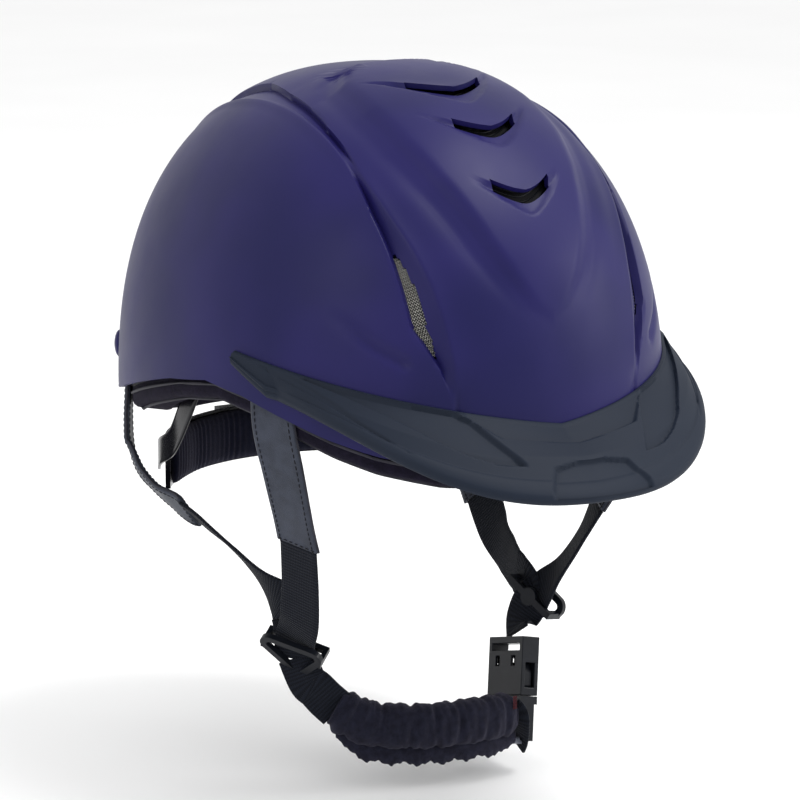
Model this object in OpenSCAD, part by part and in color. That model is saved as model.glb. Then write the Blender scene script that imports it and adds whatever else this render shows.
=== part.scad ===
// Riding helmet with a flexible peak, a four-point harness and a dial-adjusted cradle.
// +Z is up, the wearer faces -Y, and the wearer's left is +X.
// The origin is the middle of the head, level with the brow.

/* [Crown] */
// Width of the crown shell
crown_w = 214; // [190:1:225]
// Length of the crown shell, without the peak
crown_l = 275.5; // [250:1:290]
// Height of the crown above its widest level
crown_h = 146.4; // [130:1:160]
// Thickness of the outer shell
shell_t = 2.5; // [2:0.5:4]

/* [Liner] */
// Width of the foam liner's head cavity
cavity_w = 170; // [150:1:176]
// Length of the foam liner's head cavity
cavity_l = 210; // [190:1:216]
// Height of the head cavity above the crown's widest level
cavity_h = 118; // [100:1:122]
// Height of the fabric edge that shows below the shell
trim_h = 9; // [5:1:12]

/* [Harness] */
// Width of the webbing
webbing_w = 19; // [15:1:20]
// Thickness of the webbing
webbing_t = 1.4; // [1:0.1:2]
// Width of the stitched strap covers
cover_w = 22; // [20:1:24]
// Thickness of the stitched strap covers
cover_t = 2.6; // [2.2:0.1:2.8]
// Thickness of the padded chin sleeve, across its height
sleeve_h = 20; // [14:1:22]
// Depth of the padded chin sleeve, front to back
sleeve_d = 14; // [10:1:16]

/* [Buckle] */
// Width of the side-release buckle
buckle_w = 26; // [24:1:28]
// Thickness of the side-release buckle
buckle_t = 9; // [8:0.5:10]
// Length of the buckle's socket
socket_l = 26; // [24:1:30]

/* [Cradle] */
// Outside radius of the nape cradle
cradle_r = 86; // [80:1:88]
// Height of the nape cradle at its middle
cradle_h = 25; // [20:1:28]
// Radius of the size dial
dial_r = 13; // [11:1:14]

/* [Hidden] */

$fn = 48;
shell_purple = [0.20, 0.18, 0.40];
peak_grey = [0.22, 0.25, 0.31];
felt = [0.17, 0.14, 0.20];
strap_black = [0.10, 0.11, 0.15];
cover_grey = [0.26, 0.28, 0.34];
plastic_black = [0.15, 0.16, 0.19];

// The crown is a superellipsoid: these two exponents square it off a little.
plan_power = 0.92;
side_power = 0.85;
// Level of the crown's widest ring
crown_z = 19.8;
columns = 60;
rows = 12;
overlap = 0.01;

// Deepest points of the rim, by angle from the front round to the back
rim_levels = [[0, 15], [25, 16.5], [40, 21.2], [50, 26.4], [60, 33], [70, 39.5], [80, 42.6],
    [90, 39], [100, 33], [120, 21.2], [150, 12.5], [180, 10]];
strap_gap = 6.2;
// The straps hang in the gap between shell and foam, this far in from the outer face
strap_off = -4.8;

function signed_pow(v, e) = sign(v) * pow(abs(v), e);
function unit(v) = v / norm(v);
function mix(a, b, t) = a + (b - a) * t;
function clamp01(t) = max(0, min(1, t));
// Angle from the front, 0 to 180, of a plan angle where 270 is the front
function from_front(a) = abs(((a - 270) % 360 + 540) % 360 - 180);
function rim_z(a) = lookup(from_front(a), rim_levels);

// A point on a crown-shaped surface of half sizes [x, y, z], at plan angle a and height z
function crown_at(half, a, z) =
    let (s = pow(min(1, abs(z - crown_z) / half[2]), 1 / side_power),
        ring = pow(sqrt(max(0, 1 - s * s)), side_power))
    [half[0] * ring * signed_pow(cos(a), plan_power),
        half[1] * ring * signed_pow(sin(a), plan_power), z];
// The same surface by climb angle t, from 0 at the widest ring to 90 at the top
function crown_by_climb(half, a, t) =
    crown_at(half, a, crown_z + half[2] * signed_pow(sin(t), side_power));
function climb_of(half, z) =
    asin(max(-1, min(1, signed_pow((z - crown_z) / half[2], 1 / side_power))));

outer_half = [crown_w / 2, crown_l / 2, crown_h];
cavity_half = [cavity_w / 2, cavity_l / 2, cavity_h];
function grown(half, off) = [half[0] + off, half[1] + off, half[2] + off];
function shell_at(a, z, off = 0) = crown_at(grown(outer_half, off), a, z);

// Faces of a closed solid whose points are given as equal rings, with flat ends
function ring_faces(n, m) = concat(
    [for (i = [0 : n - 2], j = [0 : m - 1]) [i * m + j, i * m + (j + 1) % m, (i + 1) * m + j]],
    [for (i = [0 : n - 2], j = [0 : m - 1])
        [i * m + (j + 1) % m, (i + 1) * m + (j + 1) % m, (i + 1) * m + j]],
    [for (j = [1 : m - 2]) [0, j + 1, j]],
    [for (j = [1 : m - 2]) [(n - 1) * m, (n - 1) * m + j, (n - 1) * m + j + 1]]);

// A dome with a wall: the offset functions give each face's half sizes by height above the rim
module dome_wall(outside, inside, drop = 0) {
    rim = [for (j = [0 : columns - 1]) rim_z(j * 360 / columns) - drop];
    outer = [for (i = [0 : rows - 1], j = [0 : columns - 1])
        let (t0 = climb_of(outside, rim[j]))
        crown_by_climb(outside, j * 360 / columns, mix(t0, 90, i / rows))];
    inner = [for (i = [0 : rows - 1], j = [0 : columns - 1])
        let (t0 = climb_of(inside, rim[j]))
        crown_by_climb(inside, j * 360 / columns, mix(t0, 90, i / rows))];
    count = rows * columns;
    tops = [[0, 0, crown_z + outside[2]], [0, 0, crown_z + inside[2]]];
    function at(i, j) = i * columns + j % columns;
    outer_faces = [for (i = [0 : rows - 2], j = [0 : columns - 1], k = [0, 1])
        k == 0 ? [at(i, j), at(i + 1, j), at(i, j + 1)]
            : [at(i, j + 1), at(i + 1, j), at(i + 1, j + 1)]];
    cap = [for (j = [0 : columns - 1]) [at(rows - 1, j), 2 * count, at(rows - 1, j + 1)]];
    inner_faces = [for (f = outer_faces) [f[0] + count, f[2] + count, f[1] + count]];
    inner_cap = [for (f = cap) [f[0] + count, f[2] + count, 2 * count + 1]];
    edge = [for (j = [0 : columns - 1], k = [0, 1])
        k == 0 ? [at(0, j), at(0, j + 1), at(0, j) + count]
            : [at(0, j + 1), at(0, j + 1) + count, at(0, j) + count]];
    polyhedron(concat(outer, inner, tops),
        concat(outer_faces, cap, inner_faces, inner_cap, edge), convexity = 6);
}

// A curved panel between two plan angles and two heights, of half sizes low (inside) and high
module crown_panel(low, high, a0, a1, z0, z1, steps = 10, levels = 4) {
    rings = [for (i = [0 : steps])
        let (a = mix(a0, a1, i / steps))
        concat([for (k = [0 : levels]) crown_at(high, a, mix(z0, z1, k / levels))],
            [for (k = [levels : -1 : 0]) crown_at(low, a, mix(z0, z1, k / levels))])];
    polyhedron([for (r = rings, p = r) p], ring_faces(steps + 1, 2 * levels + 2), convexity = 6);
}

// A smooth run through hand-placed points
function bend(p, i, t) =
    let (a = p[max(0, i - 1)], b = p[i], c = p[i + 1], d = p[min(len(p) - 1, i + 2)])
    0.5 * (2 * b + (c - a) * t + (2 * a - 5 * b + 4 * c - d) * t * t
        + (3 * b - a - 3 * c + d) * t * t * t);
function smooth(p, n) = concat([for (i = [0 : len(p) - 2], k = [0 : n - 1]) bend(p, i, k / n)],
    [p[len(p) - 1]]);

// A flat strap through the route; turns holds the plan angle that its face looks along
module ribbon(route, turns, width, thickness) {
    path = smooth(route, 3);
    turn = smooth([for (t = turns) [t, 0, 0]], 3);
    n = len(path);
    rings = [for (i = [0 : n - 1])
        let (along = unit(path[min(n - 1, i + 1)] - path[max(0, i - 1)]),
            face = [cos(turn[i][0]), sin(turn[i][0]), 0],
            across = unit(cross(face, along)) * width / 2,
            out = unit(cross(along, across)) * thickness / 2)
        [path[i] + across + out, path[i] - across + out, path[i] - across - out,
            path[i] + across - out]];
    polyhedron([for (r = rings, p = r) p], ring_faces(n, 4), convexity = 6);
}

// A flattened tube through the route, for padded pieces
module padded_tube(route, height, depth, sides = 12) {
    path = smooth(route, 3);
    n = len(path);
    rings = [for (i = [0 : n - 1])
        let (along = unit(path[min(n - 1, i + 1)] - path[max(0, i - 1)]),
            up = unit([0, 0, 1] - along[2] * along),
            side = cross(along, up),
            swell = (i == 0 || i == n - 1) ? 0.8 : 1)
        [for (k = [0 : sides - 1])
            path[i] + up * (height / 2 * swell * cos(-k * 360 / sides))
                + side * (depth / 2 * swell * sin(-k * 360 / sides))]];
    polyhedron([for (r = rings, p = r) p], ring_faces(n, sides), convexity = 6);
}

// Puts a part drawn at the origin at a place, its +Y along up and its +Z along out
module seat(place, up, out) {
    u = unit(up);
    o = unit(out - (out * u) * u);
    s = cross(u, o);
    multmatrix([[s[0], u[0], o[0], place[0]], [s[1], u[1], o[1], place[1]],
        [s[2], u[2], o[2], place[2]], [0, 0, 0, 1]]) children();
}

// ---- Harness routes, chosen by hand ----
front_a = -26;
rear_a = 38;
front_anchor_z = 45;
rear_anchor_z = 38;
front_exit = [shell_at(front_a, front_anchor_z + 7, strap_off), shell_at(front_a, 36, strap_off),
    [92, -63.5, 24], [88.5, -63.5, 8.9], [83, -60.5, -9], [76, -54.5, -26]];
front_turns = [-22, -22, -22, -21, -20, -22];
right_front_run = [[-76, -54.5, -26], [-71.5, -48, -47], [-67.5, -40, -64], [-63.6, -30, -74.5],
    [-62.4, -27.7, -77.6], [-61.5, -26.1, -79.8]];
left_front_run = [[76, -54.5, -26], [71.5, -46.5, -44], [67, -36.5, -60], [63.5, -28.5, -70],
    [61, -24, -76], [57.5, -21.8, -84.5], [53.5, -24, -88.8]];
rear_exit = [shell_at(rear_a, rear_anchor_z + 6, strap_off), shell_at(rear_a, 22, strap_off),
    [83.6, 84, 4], [84, 81, -9]];
right_rear_low = [[-83.5, 68, -19], [-81, 52, -26.5], [-78, 37.4, -30]];
left_rear_low = [[84.5, 70, -22], [84, 59, -33], [82, 49, -41.6]];
right_rear_run = [[-78, 37.4, -30], [-75, 20, -36], [-71.3, 0.7, -45], [-68, -15, -54.5],
    [-66.2, -24, -59.5], [-65.8, -29, -62.5]];
left_rear_run = [[82, 49, -41.6], [76, 28.6, -55.8], [70.5, 10, -62], [66.5, -2, -65],
    [64.5, -9, -66.5]];
adjuster_spot = [[61, -24, -76], [-61, -25.2, -81]];
adjuster_up = [[0.35, -0.45, 0.9], [-0.31, -0.57, 0.77]];
adjuster_out = [[0.95, 0.25, 0], [-0.75, -0.65, 0]];
chin_run = [[-57, -28.5, -94.5], [-54.5, -31.5, -97.5], [-51, -34, -102], [-47.8, -35, -106.5]];
sleeve_run = [[-47, -35, -106], [-34, -41, -113.5], [-17, -49, -115.5], [-3, -52.5, -116],
    [15, -54, -116], [33, -51, -117]];
tail_run = [[33, -50.5, -118], [36.2, -47.5, -123.5], [38.6, -44.6, -128.2], [39.6, -42.8, -130.8]];

// The buckle stands almost upright; its socket opens downwards at this place
buckle_at = [44.5, -34.5, -114.5];
buckle_tilt = [-14, 12, 0];
module at_buckle() {
    translate(buckle_at) rotate(buckle_tilt) children();
}
function flipped(route, side) = [for (p = route) [p[0] * side, p[1], p[2]]];
function flipped_turns(turns, side) = [for (t = turns) side > 0 ? t : 180 - t];

// ---- Crown ----
chevrons = [[-113, 113.5, 42], [-89.5, 139, 58], [-63.5, 154, 68]];
module chevron_outline() {
    polygon([[0, -3], [14, 13], [12.5, 15], [0, 2], [-12.5, 15], [-14, 13]]);
}
module chevron_cutters() {
    for (c = chevrons)
        translate([0, c[0], c[1]]) rotate([90 - c[2], 0, 0]) translate([0, 0, -8])
            linear_extrude(16) chevron_outline();
}
module side_vent(side, low, high) {
    rings = [for (i = [0 : 6])
        let (z = mix(64, 100, i / 6), a = side > 0 ? mix(-63.5, -59, i / 6) : mix(243.5, 239, i / 6),
            half = 2.4 * sin(20 + 70 * i / 6))
        [crown_at(grown(outer_half, high), a - half, z), crown_at(grown(outer_half, high), a + half, z),
            crown_at(grown(outer_half, low), a + half, z), crown_at(grown(outer_half, low), a - half, z)]];
    polyhedron([for (r = rings, p = r) p], [for (f = ring_faces(7, 4)) [f[2], f[1], f[0]]],
        convexity = 4);
}
module outer_shell() {
    color(shell_purple)
        difference() {
            dome_wall(outer_half, grown(outer_half, -shell_t));
            chevron_cutters();
            side_vent(1, -6, 4);
            side_vent(-1, -6, 4);
        }
}
module side_vent_mesh_left() {
    color("gainsboro") side_vent(1, -shell_t + 0.05, -shell_t + 0.7);
}
module side_vent_mesh_right() {
    color("gainsboro") side_vent(-1, -shell_t + 0.05, -shell_t + 0.7);
}
module chevron_vent_mesh() {
    color("dimgray")
        intersection() {
            dome_wall(grown(outer_half, -shell_t + 0.7), grown(outer_half, -shell_t + 0.05));
            chevron_cutters();
        }
}
module eps_liner() {
    color("whitesmoke") dome_wall(grown(outer_half, -strap_gap), cavity_half);
}
module liner_trim() {
    steps = columns;
    rings = [for (j = [0 : steps])
        let (a = j * 360 / steps, z = rim_z(a))
        [crown_at(grown(outer_half, -strap_gap), a, z - overlap),
            crown_at(cavity_half, a, z - overlap),
            crown_at(cavity_half, a, z - trim_h + 2.5),
            crown_at(grown(cavity_half, 3), a, z - trim_h),
            crown_at(grown(outer_half, -strap_gap - 3), a, z - trim_h),
            crown_at(grown(outer_half, -strap_gap), a, z - trim_h + 2.5)]];
    m = 6;
    points = [for (j = [0 : steps - 1], p = rings[j]) p];
    faces = [for (j = [0 : steps - 1], k = [0 : m - 1], h = [0, 1])
        let (n = (j + 1) % steps, q = (k + 1) % m)
        h == 0 ? [j * m + k, n * m + k, j * m + q] : [j * m + q, n * m + k, n * m + q]];
    color(felt) polyhedron(points, faces, convexity = 6);
}

// ---- Peak ----
peak_span = 72;
function peak_top_z(b) = 32.5 + 0.35 * b;
// Outer edge of the peak by angle from the front
function peak_edge(b) =
    let (t = 1.242 * min(b, 63))
    [97.8 * sin(t), -2.2 - 170.1 * pow(cos(t), 0.572), 9.3 + 36.1 * pow(sin(t), 2.92)];
module visor() {
    steps = 36;
    rings = [for (i = [0 : steps])
        let (signed = mix(-peak_span, peak_span, i / steps), b = abs(signed), side = sign(signed + 0.01),
            a = 270 + b, top_z = peak_top_z(b),
            tail = clamp01((b - 63) / 9),
            edge_tail = shell_at(a, mix(44, 55, tail), 3.2),
            edge = b < 63 ? peak_edge(b) : edge_tail,
            low_z = min(max(rim_z(a) + 1, edge[2] - 1.5), top_z - 2.5),
            inner_top = shell_at(a, top_z, 0.25),
            outer_top = shell_at(a, top_z - 0.8, 2.6),
            root = shell_at(a, low_z, 0.25),
            crest = mix(outer_top, edge, 0.55) + [0, 0, 3.2 * (1 - b / 80)],
            under = mix(root, edge, 0.6) + [0, 0, 1.2 * (1 - b / 80)],
            lip = unit([edge[0], edge[1], 0]))
        [for (p = [inner_top, outer_top, crest, edge, edge - [0, 0, 3] - lip * 1, under - [0, 0, 0.4], root])
            [p[0] * side, p[1], p[2]]]];
    color(peak_grey)
        polyhedron([for (r = rings, p = r) p], ring_faces(steps + 1, 7), convexity = 8);
}
peg_angles = [-50, -17, 17, 50];
module visor_pegs() {
    color("silver")
        for (b = peg_angles) {
            place = shell_at(270 + b, peak_top_z(abs(b)) - 7, 0.3);
            seat(place, [0, 0, 1], [place[0] / pow(crown_w, 2), place[1] / pow(crown_l, 2), 0])
                translate([0, 0, -5]) cylinder(r = 2.2, h = 5);
        }
}

// ---- Strap anchors ----
// Plan direction square to the crown at plan angle a
function facing(a) =
    let (p = shell_at(a, crown_z))
    atan2(p[1] / pow(outer_half[1], 2), p[0] / pow(outer_half[0], 2));
module at_anchor(a, z) {
    for (side = [0, 1]) mirror([side, 0, 0])
        seat(shell_at(a, z, -0.3), [0, 0, 1], [cos(facing(a)), sin(facing(a)), 0]) children();
}
anchor_depth = 7.6;
module shank() {
    translate([0, 0, -anchor_depth]) cylinder(r = 2, h = anchor_depth);
}
module shell_rivets_rear() {
    color("indigo") at_anchor(rear_a, rear_anchor_z) {
        intersection() {
            translate([0, 0, -6.6]) sphere(r = 9);
            cylinder(r = 6, h = 4);
        }
        shank();
    }
}
module shell_rivets_front() {
    color("indigo") at_anchor(front_a, front_anchor_z) {
        translate([0, 0, -1.2]) cylinder(r = 4, h = 1.4);
        shank();
    }
}
module washer() {
    translate([0, 0, -anchor_depth])
        difference() {
            cylinder(r = 5, h = 1.2);
            translate([0, 0, -1]) cylinder(r = 2, h = 4);
        }
}
module anchor_washers() {
    color("silver") {
        at_anchor(rear_a, rear_anchor_z) washer();
        at_anchor(front_a, front_anchor_z) washer();
    }
}

// ---- Comfort pads inside the cavity ----
pad_t = 6;
pad_gap = 0.6;
module pad_panel(a0, a1, z0, z1, thick = pad_t) {
    color(felt) crown_panel(grown(cavity_half, -thick), grown(cavity_half, -pad_gap), a0, a1, z0, z1);
}
module brow_pad() pad_panel(225, 315, 24, 50);
module side_pad_left() pad_panel(-20, 38, 44, 68);
module side_pad_right() pad_panel(142, 200, 44, 68);
module crown_pad() {
    color(felt)
        for (a = [0 : 90 : 270]) crown_panel(grown(cavity_half, -pad_t), grown(cavity_half, -pad_gap),
            a + 22, a + 68, 92, 116, 8, 3);
}

// ---- Straps ----
module front_cover(side) {
    color(cover_grey) ribbon(flipped(front_exit, side), flipped_turns(front_turns, side), cover_w, cover_t);
}
module front_strap_cover_left() front_cover(1);
module front_strap_cover_right() front_cover(-1);
module rear_strap_cover_left() {
    color(cover_grey) ribbon(concat(rear_exit, left_rear_low), [32, 32, 32, 32, 33, 34, 35],
        cover_w, cover_t);
}
module rear_strap_cover_right() {
    color(cover_grey) ribbon(concat(flipped(rear_exit, -1), right_rear_low),
        [148, 148, 148, 145, 128, 118, 114], cover_w, cover_t);
}
module front_strap_left() {
    color(strap_black) ribbon(left_front_run, [-22, -14, -2, 8, 14, 8, 2], webbing_w, webbing_t);
}
module front_strap_right() {
    color(strap_black) ribbon(right_front_run, [202, 206, 214, 220, 221, 221], webbing_w, webbing_t);
}
module rear_strap_left() {
    color(strap_black) ribbon(left_rear_run, [35, 30, 22, 16, 14], webbing_w, webbing_t);
}
module rear_strap_right() {
    color(strap_black) ribbon(right_rear_run, [114, 118, 126, 150, 205, 221], webbing_w, webbing_t);
}

// Triangular strap adjuster: a rounded ring outside the straps and a hub bar inside them
ring_corners = [[-9.6, 5], [9.4, 5.5], [3, -5]];
ring_depth = 2.4;
slot_half = 2.6;
module ring_outline(r) {
    hull() for (c = ring_corners) translate(c) circle(r = r, $fn = 32);
}
module adjuster_body() {
    translate([0, 0, slot_half])
        linear_extrude(ring_depth)
            difference() {
                ring_outline(5);
                ring_outline(1.9);
            }
    translate([-14.2, 1.5, -slot_half - ring_depth]) cube([28.2, 3, ring_depth]);
    translate([0, 3, -slot_half - ring_depth]) cylinder(r = 4, h = ring_depth);
    for (x = [-14.2, 12])
        translate([x, 1.5, -slot_half - ring_depth]) cube([2, 3, 2 * slot_half + 2 * ring_depth]);
}
module adjuster_left() {
    color(plastic_black) seat(adjuster_spot[0], adjuster_up[0], adjuster_out[0]) adjuster_body();
}
module adjuster_right() {
    color(plastic_black) seat(adjuster_spot[1], adjuster_up[1], adjuster_out[1]) adjuster_body();
}

// ---- Side-release buckle, drawn with its mouth at z = 0 and its plug below ----
wall = 1.3;
bar_r = 1.5;
pocket_l = 17;
module buckle_socket() {
    color(plastic_black)
        at_buckle()
            difference() {
                translate([-buckle_t / 2, -buckle_w / 2, 0]) cube([buckle_t, buckle_w, socket_l]);
                translate([-buckle_t / 2 + wall, -buckle_w / 2 + wall, -1])
                    cube([buckle_t - 2 * wall, buckle_w - 2 * wall, pocket_l + 1]);
                translate([-buckle_t / 2 + 2, -buckle_w, 3.5]) cube([buckle_t - 4, 2 * buckle_w, 11]);
                translate([-buckle_t, -10.5, socket_l - 6.2]) cube([2 * buckle_t, 21, 3.2]);
                for (y = [-6, 6]) translate([-buckle_t, y - 1.5, 13]) cube([2 * buckle_t, 3, 4.5]);
            }
}
plug_l = 20;
module buckle_plug() {
    color(plastic_black)
        at_buckle() {
            translate([-buckle_t / 2, -buckle_w / 2, -3.8]) cube([buckle_t, buckle_w, 3.5]);
            translate([-1.5, -2.5, -0.4]) cube([3, 5, pocket_l - 2]);
            for (y = [-buckle_w / 2, buckle_w / 2 - 2.4])
                translate([-3, y, -plug_l]) cube([6, 2.4, plug_l - 3]);
            for (z = [-9, -plug_l + 1.5])
                translate([0, -buckle_w / 2 + 1, z]) rotate([-90, 0, 0]) cylinder(r = bar_r, h = buckle_w - 2);
        }
}
prong_l = 14.5;
module prong(side) {
    color([0.20, 0.21, 0.24])
        at_buckle() scale([1, side, 1])
            translate([-2.2, 0, 0.1])
                rotate([90, 0, 90])
                    linear_extrude(4.4)
                        polygon([[6.5, 0], [9.5, 0], [11.3, 4.5], [11.3, 10], [9, prong_l], [6.5, prong_l]]);
}
module buckle_prong_front() prong(-1);
module buckle_prong_rear() prong(1);

// ---- Chin strap ----
module chin_webbing() {
    color(strap_black) ribbon(chin_run, [221, 226, 232, 238], webbing_w - 1, webbing_t);
}
module chin_tail() {
    color(strap_black) ribbon(tail_run, [30, 22, 12, 6], webbing_w, webbing_t);
}
module chin_sleeve() {
    color(felt) padded_tube(sleeve_run, sleeve_h, sleeve_d);
}
flap_drop = 3.5;
module chin_flap() {
    color(felt)
        ribbon([for (p = sleeve_run) p - [0, 2, sleeve_h / 2 + flap_drop]],
            [-110, -105, -98, -92, -85, -80], 2 * flap_drop - 0.6, 2.2);
}

// ---- Nape cradle and size dial ----
cradle_mid = [0, 24, -14];
cradle_spread = 116;
band_t = 2.2;
module arc_wall(r, t, h, spread) {
    rotate([0, 0, 90 - spread / 2])
        rotate_extrude(angle = spread, $fn = 120) translate([r - t, -h / 2]) square([t, h]);
}
module cradle_band() {
    color("black")
        translate(cradle_mid)
            difference() {
                arc_wall(cradle_r, band_t, cradle_h, cradle_spread);
                for (a = [-51, -43, -32, 32, 43, 51]) rotate([0, 0, a])
                    translate([0, cradle_r, 0]) rotate([90, 0, 0])
                        cylinder(r = 3, h = 10, center = true);
                for (a = [-20, 20]) rotate([0, 0, a])
                    translate([0, cradle_r, 0]) cube([14, 12, 7], center = true);
            }
}
cradle_pad_t = 5;
module cradle_pad() {
    color("midnightblue") translate(cradle_mid)
        arc_wall(cradle_r - band_t - 0.1, cradle_pad_t, cradle_h - 2, cradle_spread - 8);
}
dial_y = cradle_mid[1] + cradle_r;
housing_w = 46;
housing_h = 24;
housing_d = 8;
pinion_r = 5;
tooth_n = 10;
screw_r = 1.2;
module dial_housing() {
    color(plastic_black)
        difference() {
            translate([-housing_w / 2, dial_y - 3, cradle_mid[2] - housing_h / 2])
                cube([housing_w, housing_d, housing_h]);
            translate(cradle_mid) cylinder(r = cradle_r + 0.1, h = 60, center = true, $fn = 180);
            translate([-housing_w, dial_y + 0.9, cradle_mid[2] - 9.6])
                cube([2 * housing_w, 2.6, 19.2]);
            translate([0, dial_y + 3.2, cradle_mid[2]]) rotate([-90, 0, 0]) cylinder(r = 4.6, h = 10);
            translate([0, dial_y + 0.2, cradle_mid[2]]) rotate([-90, 0, 0]) cylinder(r = screw_r, h = 10);
        }
}
tooth_pitch = 2 * PI * pinion_r / tooth_n;
rack_teeth = 9;
rack_root = 6.4;
// One rack: its teeth face the pinion, the left rack above it and the right rack below it
module rack_strip(side) {
    x0 = -1.5 * tooth_pitch;
    x1 = x0 + rack_teeth * tooth_pitch;
    teeth = [for (i = [0 : rack_teeth - 1], q = [[-0.85, 0], [-0.35, -1.8], [0.35, -1.8], [0.85, 0]])
        [(i - 1) * tooth_pitch + q[0], rack_root + q[1]]];
    outline = concat([[x0, rack_root]], teeth, [[x1, rack_root], [x1, 9], [x0, 9]]);
    turned = [for (p = outline) [p[0] * side, p[1] * side]];
    color("dimgray")
        translate([0, dial_y + 3, cradle_mid[2]])
            rotate([90, 0, 0]) linear_extrude(1.6) polygon(turned);
}
module rack_left() rack_strip(1);
module rack_right() rack_strip(-1);
module dial_knob() {
    color(plastic_black)
        translate([0, dial_y, cradle_mid[2]]) rotate([-90, 0, 0]) {
            translate([0, 0, 5.4]) difference() {
                cylinder(r = dial_r, h = 6);
                for (i = [0 : 17]) rotate([0, 0, i * 20]) translate([dial_r + 0.6, 0, -1])
                    cylinder(r = 1.6, h = 8, $fn = 16);
                translate([0, 0, 4.5]) cylinder(r = 4.2, h = 3);
                translate([0, 0, -1]) cylinder(r = 1.25, h = 8);
            }
            difference() {
                union() {
                    translate([0, 0, 3.2]) cylinder(r = 3.6, h = 2.3);
                    translate([0, 0, 1.3]) cylinder(r = 3.7, h = 2);
                    translate([0, 0, 1.3]) linear_extrude(1.9)
                        for (i = [0 : tooth_n - 1]) rotate(i * 360 / tooth_n)
                            translate([3.4, 0]) polygon([[0, -0.8], [2.1, -0.3], [2.1, 0.3], [0, 0.8]]);
                }
                translate([0, 0, -1]) cylinder(r = 1.25, h = 8);
            }
        }
}
module dial_screw() {
    color("silver")
        translate([0, dial_y, cradle_mid[2]]) rotate([-90, 0, 0]) {
            translate([0, 0, 0.2]) cylinder(r = screw_r, h = 9.8);
            translate([0, 0, 9.95]) cylinder(r = 3, h = 1.3);
        }
}
module dial_cover() {
    color(plastic_black)
        translate([0, dial_y + 5.05, cradle_mid[2]]) rotate([-90, 0, 0])
            difference() {
                translate([-housing_w / 2 + 4, -housing_h / 2 + 1, 0]) cube([housing_w - 8, housing_h - 2, 0.25]);
                translate([0, 0, -1]) cylinder(r = 4.6, h = 4);
            }
}
arm_run = [[77, 24, 37], [79.5, 34, 16], [78.5, 48, 0], [74.8, 66, -8], [70, 76.5, -13]];
arm_turns = [0, 6, 14, 22, 32];
module arm(side) {
    color("black") translate([side * 2.2, 0, 0]) ribbon(flipped(arm_run, side), flipped_turns(arm_turns, side), 12, 1.4);
}
module arm_left() arm(1);
module arm_right() arm(-1);
module arm_anchors() {
    color("silver")
        for (side = [-1, 1]) translate([side * 77.7, 24, 37]) rotate([0, 90 * side, 0]) cylinder(r = 3, h = 2);
}

outer_shell();
eps_liner();
liner_trim();
visor();
visor_pegs();
side_vent_mesh_left();
side_vent_mesh_right();
chevron_vent_mesh();
shell_rivets_rear();
shell_rivets_front();
anchor_washers();
brow_pad();
side_pad_left();
side_pad_right();
crown_pad();
front_strap_cover_left();
front_strap_cover_right();
rear_strap_cover_left();
rear_strap_cover_right();
front_strap_left();
front_strap_right();
rear_strap_left();
rear_strap_right();
adjuster_left();
adjuster_right();
buckle_socket();
buckle_plug();
buckle_prong_front();
buckle_prong_rear();
chin_webbing();
chin_tail();
chin_sleeve();
chin_flap();
cradle_band();
cradle_pad();
arm_left();
arm_right();
arm_anchors();
dial_housing();
dial_cover();
dial_knob();
dial_screw();
rack_left();
rack_right();
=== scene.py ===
# %% [markdown]
# # A riding helmet, piece by piece
# This lesson dresses a packed helmet model: a moulded shell with grooves, a rubber peak, a
# stitched harness, a quilted chin sleeve and a nape cradle. Sizes in the helpers are in
# millimetres, because that is how such parts are drawn, and each mesh is brought to metres as it
# is made. +Z is up, the wearer faces -Y, and the wearer's left is +X.

# %% Load the frame
import math
import bmesh
import bpy
import numpy as np
from mathutils import Euler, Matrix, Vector


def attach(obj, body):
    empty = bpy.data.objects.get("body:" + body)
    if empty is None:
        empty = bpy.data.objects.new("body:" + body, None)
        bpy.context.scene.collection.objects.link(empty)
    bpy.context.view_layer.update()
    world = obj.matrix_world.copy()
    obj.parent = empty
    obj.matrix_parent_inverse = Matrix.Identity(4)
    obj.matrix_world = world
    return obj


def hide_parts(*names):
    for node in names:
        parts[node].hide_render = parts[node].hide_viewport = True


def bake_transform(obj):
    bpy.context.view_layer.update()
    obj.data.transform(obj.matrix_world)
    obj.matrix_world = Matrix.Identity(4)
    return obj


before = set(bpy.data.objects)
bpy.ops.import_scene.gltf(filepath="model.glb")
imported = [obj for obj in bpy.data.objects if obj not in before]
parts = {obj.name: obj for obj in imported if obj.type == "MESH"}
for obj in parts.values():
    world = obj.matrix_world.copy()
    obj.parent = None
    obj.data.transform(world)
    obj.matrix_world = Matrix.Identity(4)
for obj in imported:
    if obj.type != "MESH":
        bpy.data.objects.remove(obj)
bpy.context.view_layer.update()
scene = bpy.context.scene
MM = 0.001

# %% [markdown]
# ## Camera, floor and light
# A long lens from a little above and from the wearer's right shows the near side and the front.
# The floor is plain and pale. Light comes from a pale sky and three large soft panels, so that
# satin paint shows broad highlights and no hard shadow.

# %% Camera and studio
lens = bpy.data.cameras.new("camera")
lens.lens = 167.7
lens.sensor_width = 36
camera = bpy.data.objects.new("camera", lens)
scene.collection.objects.link(camera)
camera.location = (-0.8321, -1.3696, 0.3437)
aim = Vector((0.0010, -0.0102, 0.0199))
camera.rotation_euler = (aim - camera.location).to_track_quat("-Z", "Y").to_euler()
scene.camera = camera

sky = bpy.data.worlds.new("sky")
sky.use_nodes = True
sky.node_tree.nodes["Background"].inputs["Color"].default_value = (1, 1, 1, 1)
sky.node_tree.nodes["Background"].inputs["Strength"].default_value = 1.0
scene.world = sky
scene.view_settings.view_transform = "Standard"


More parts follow.
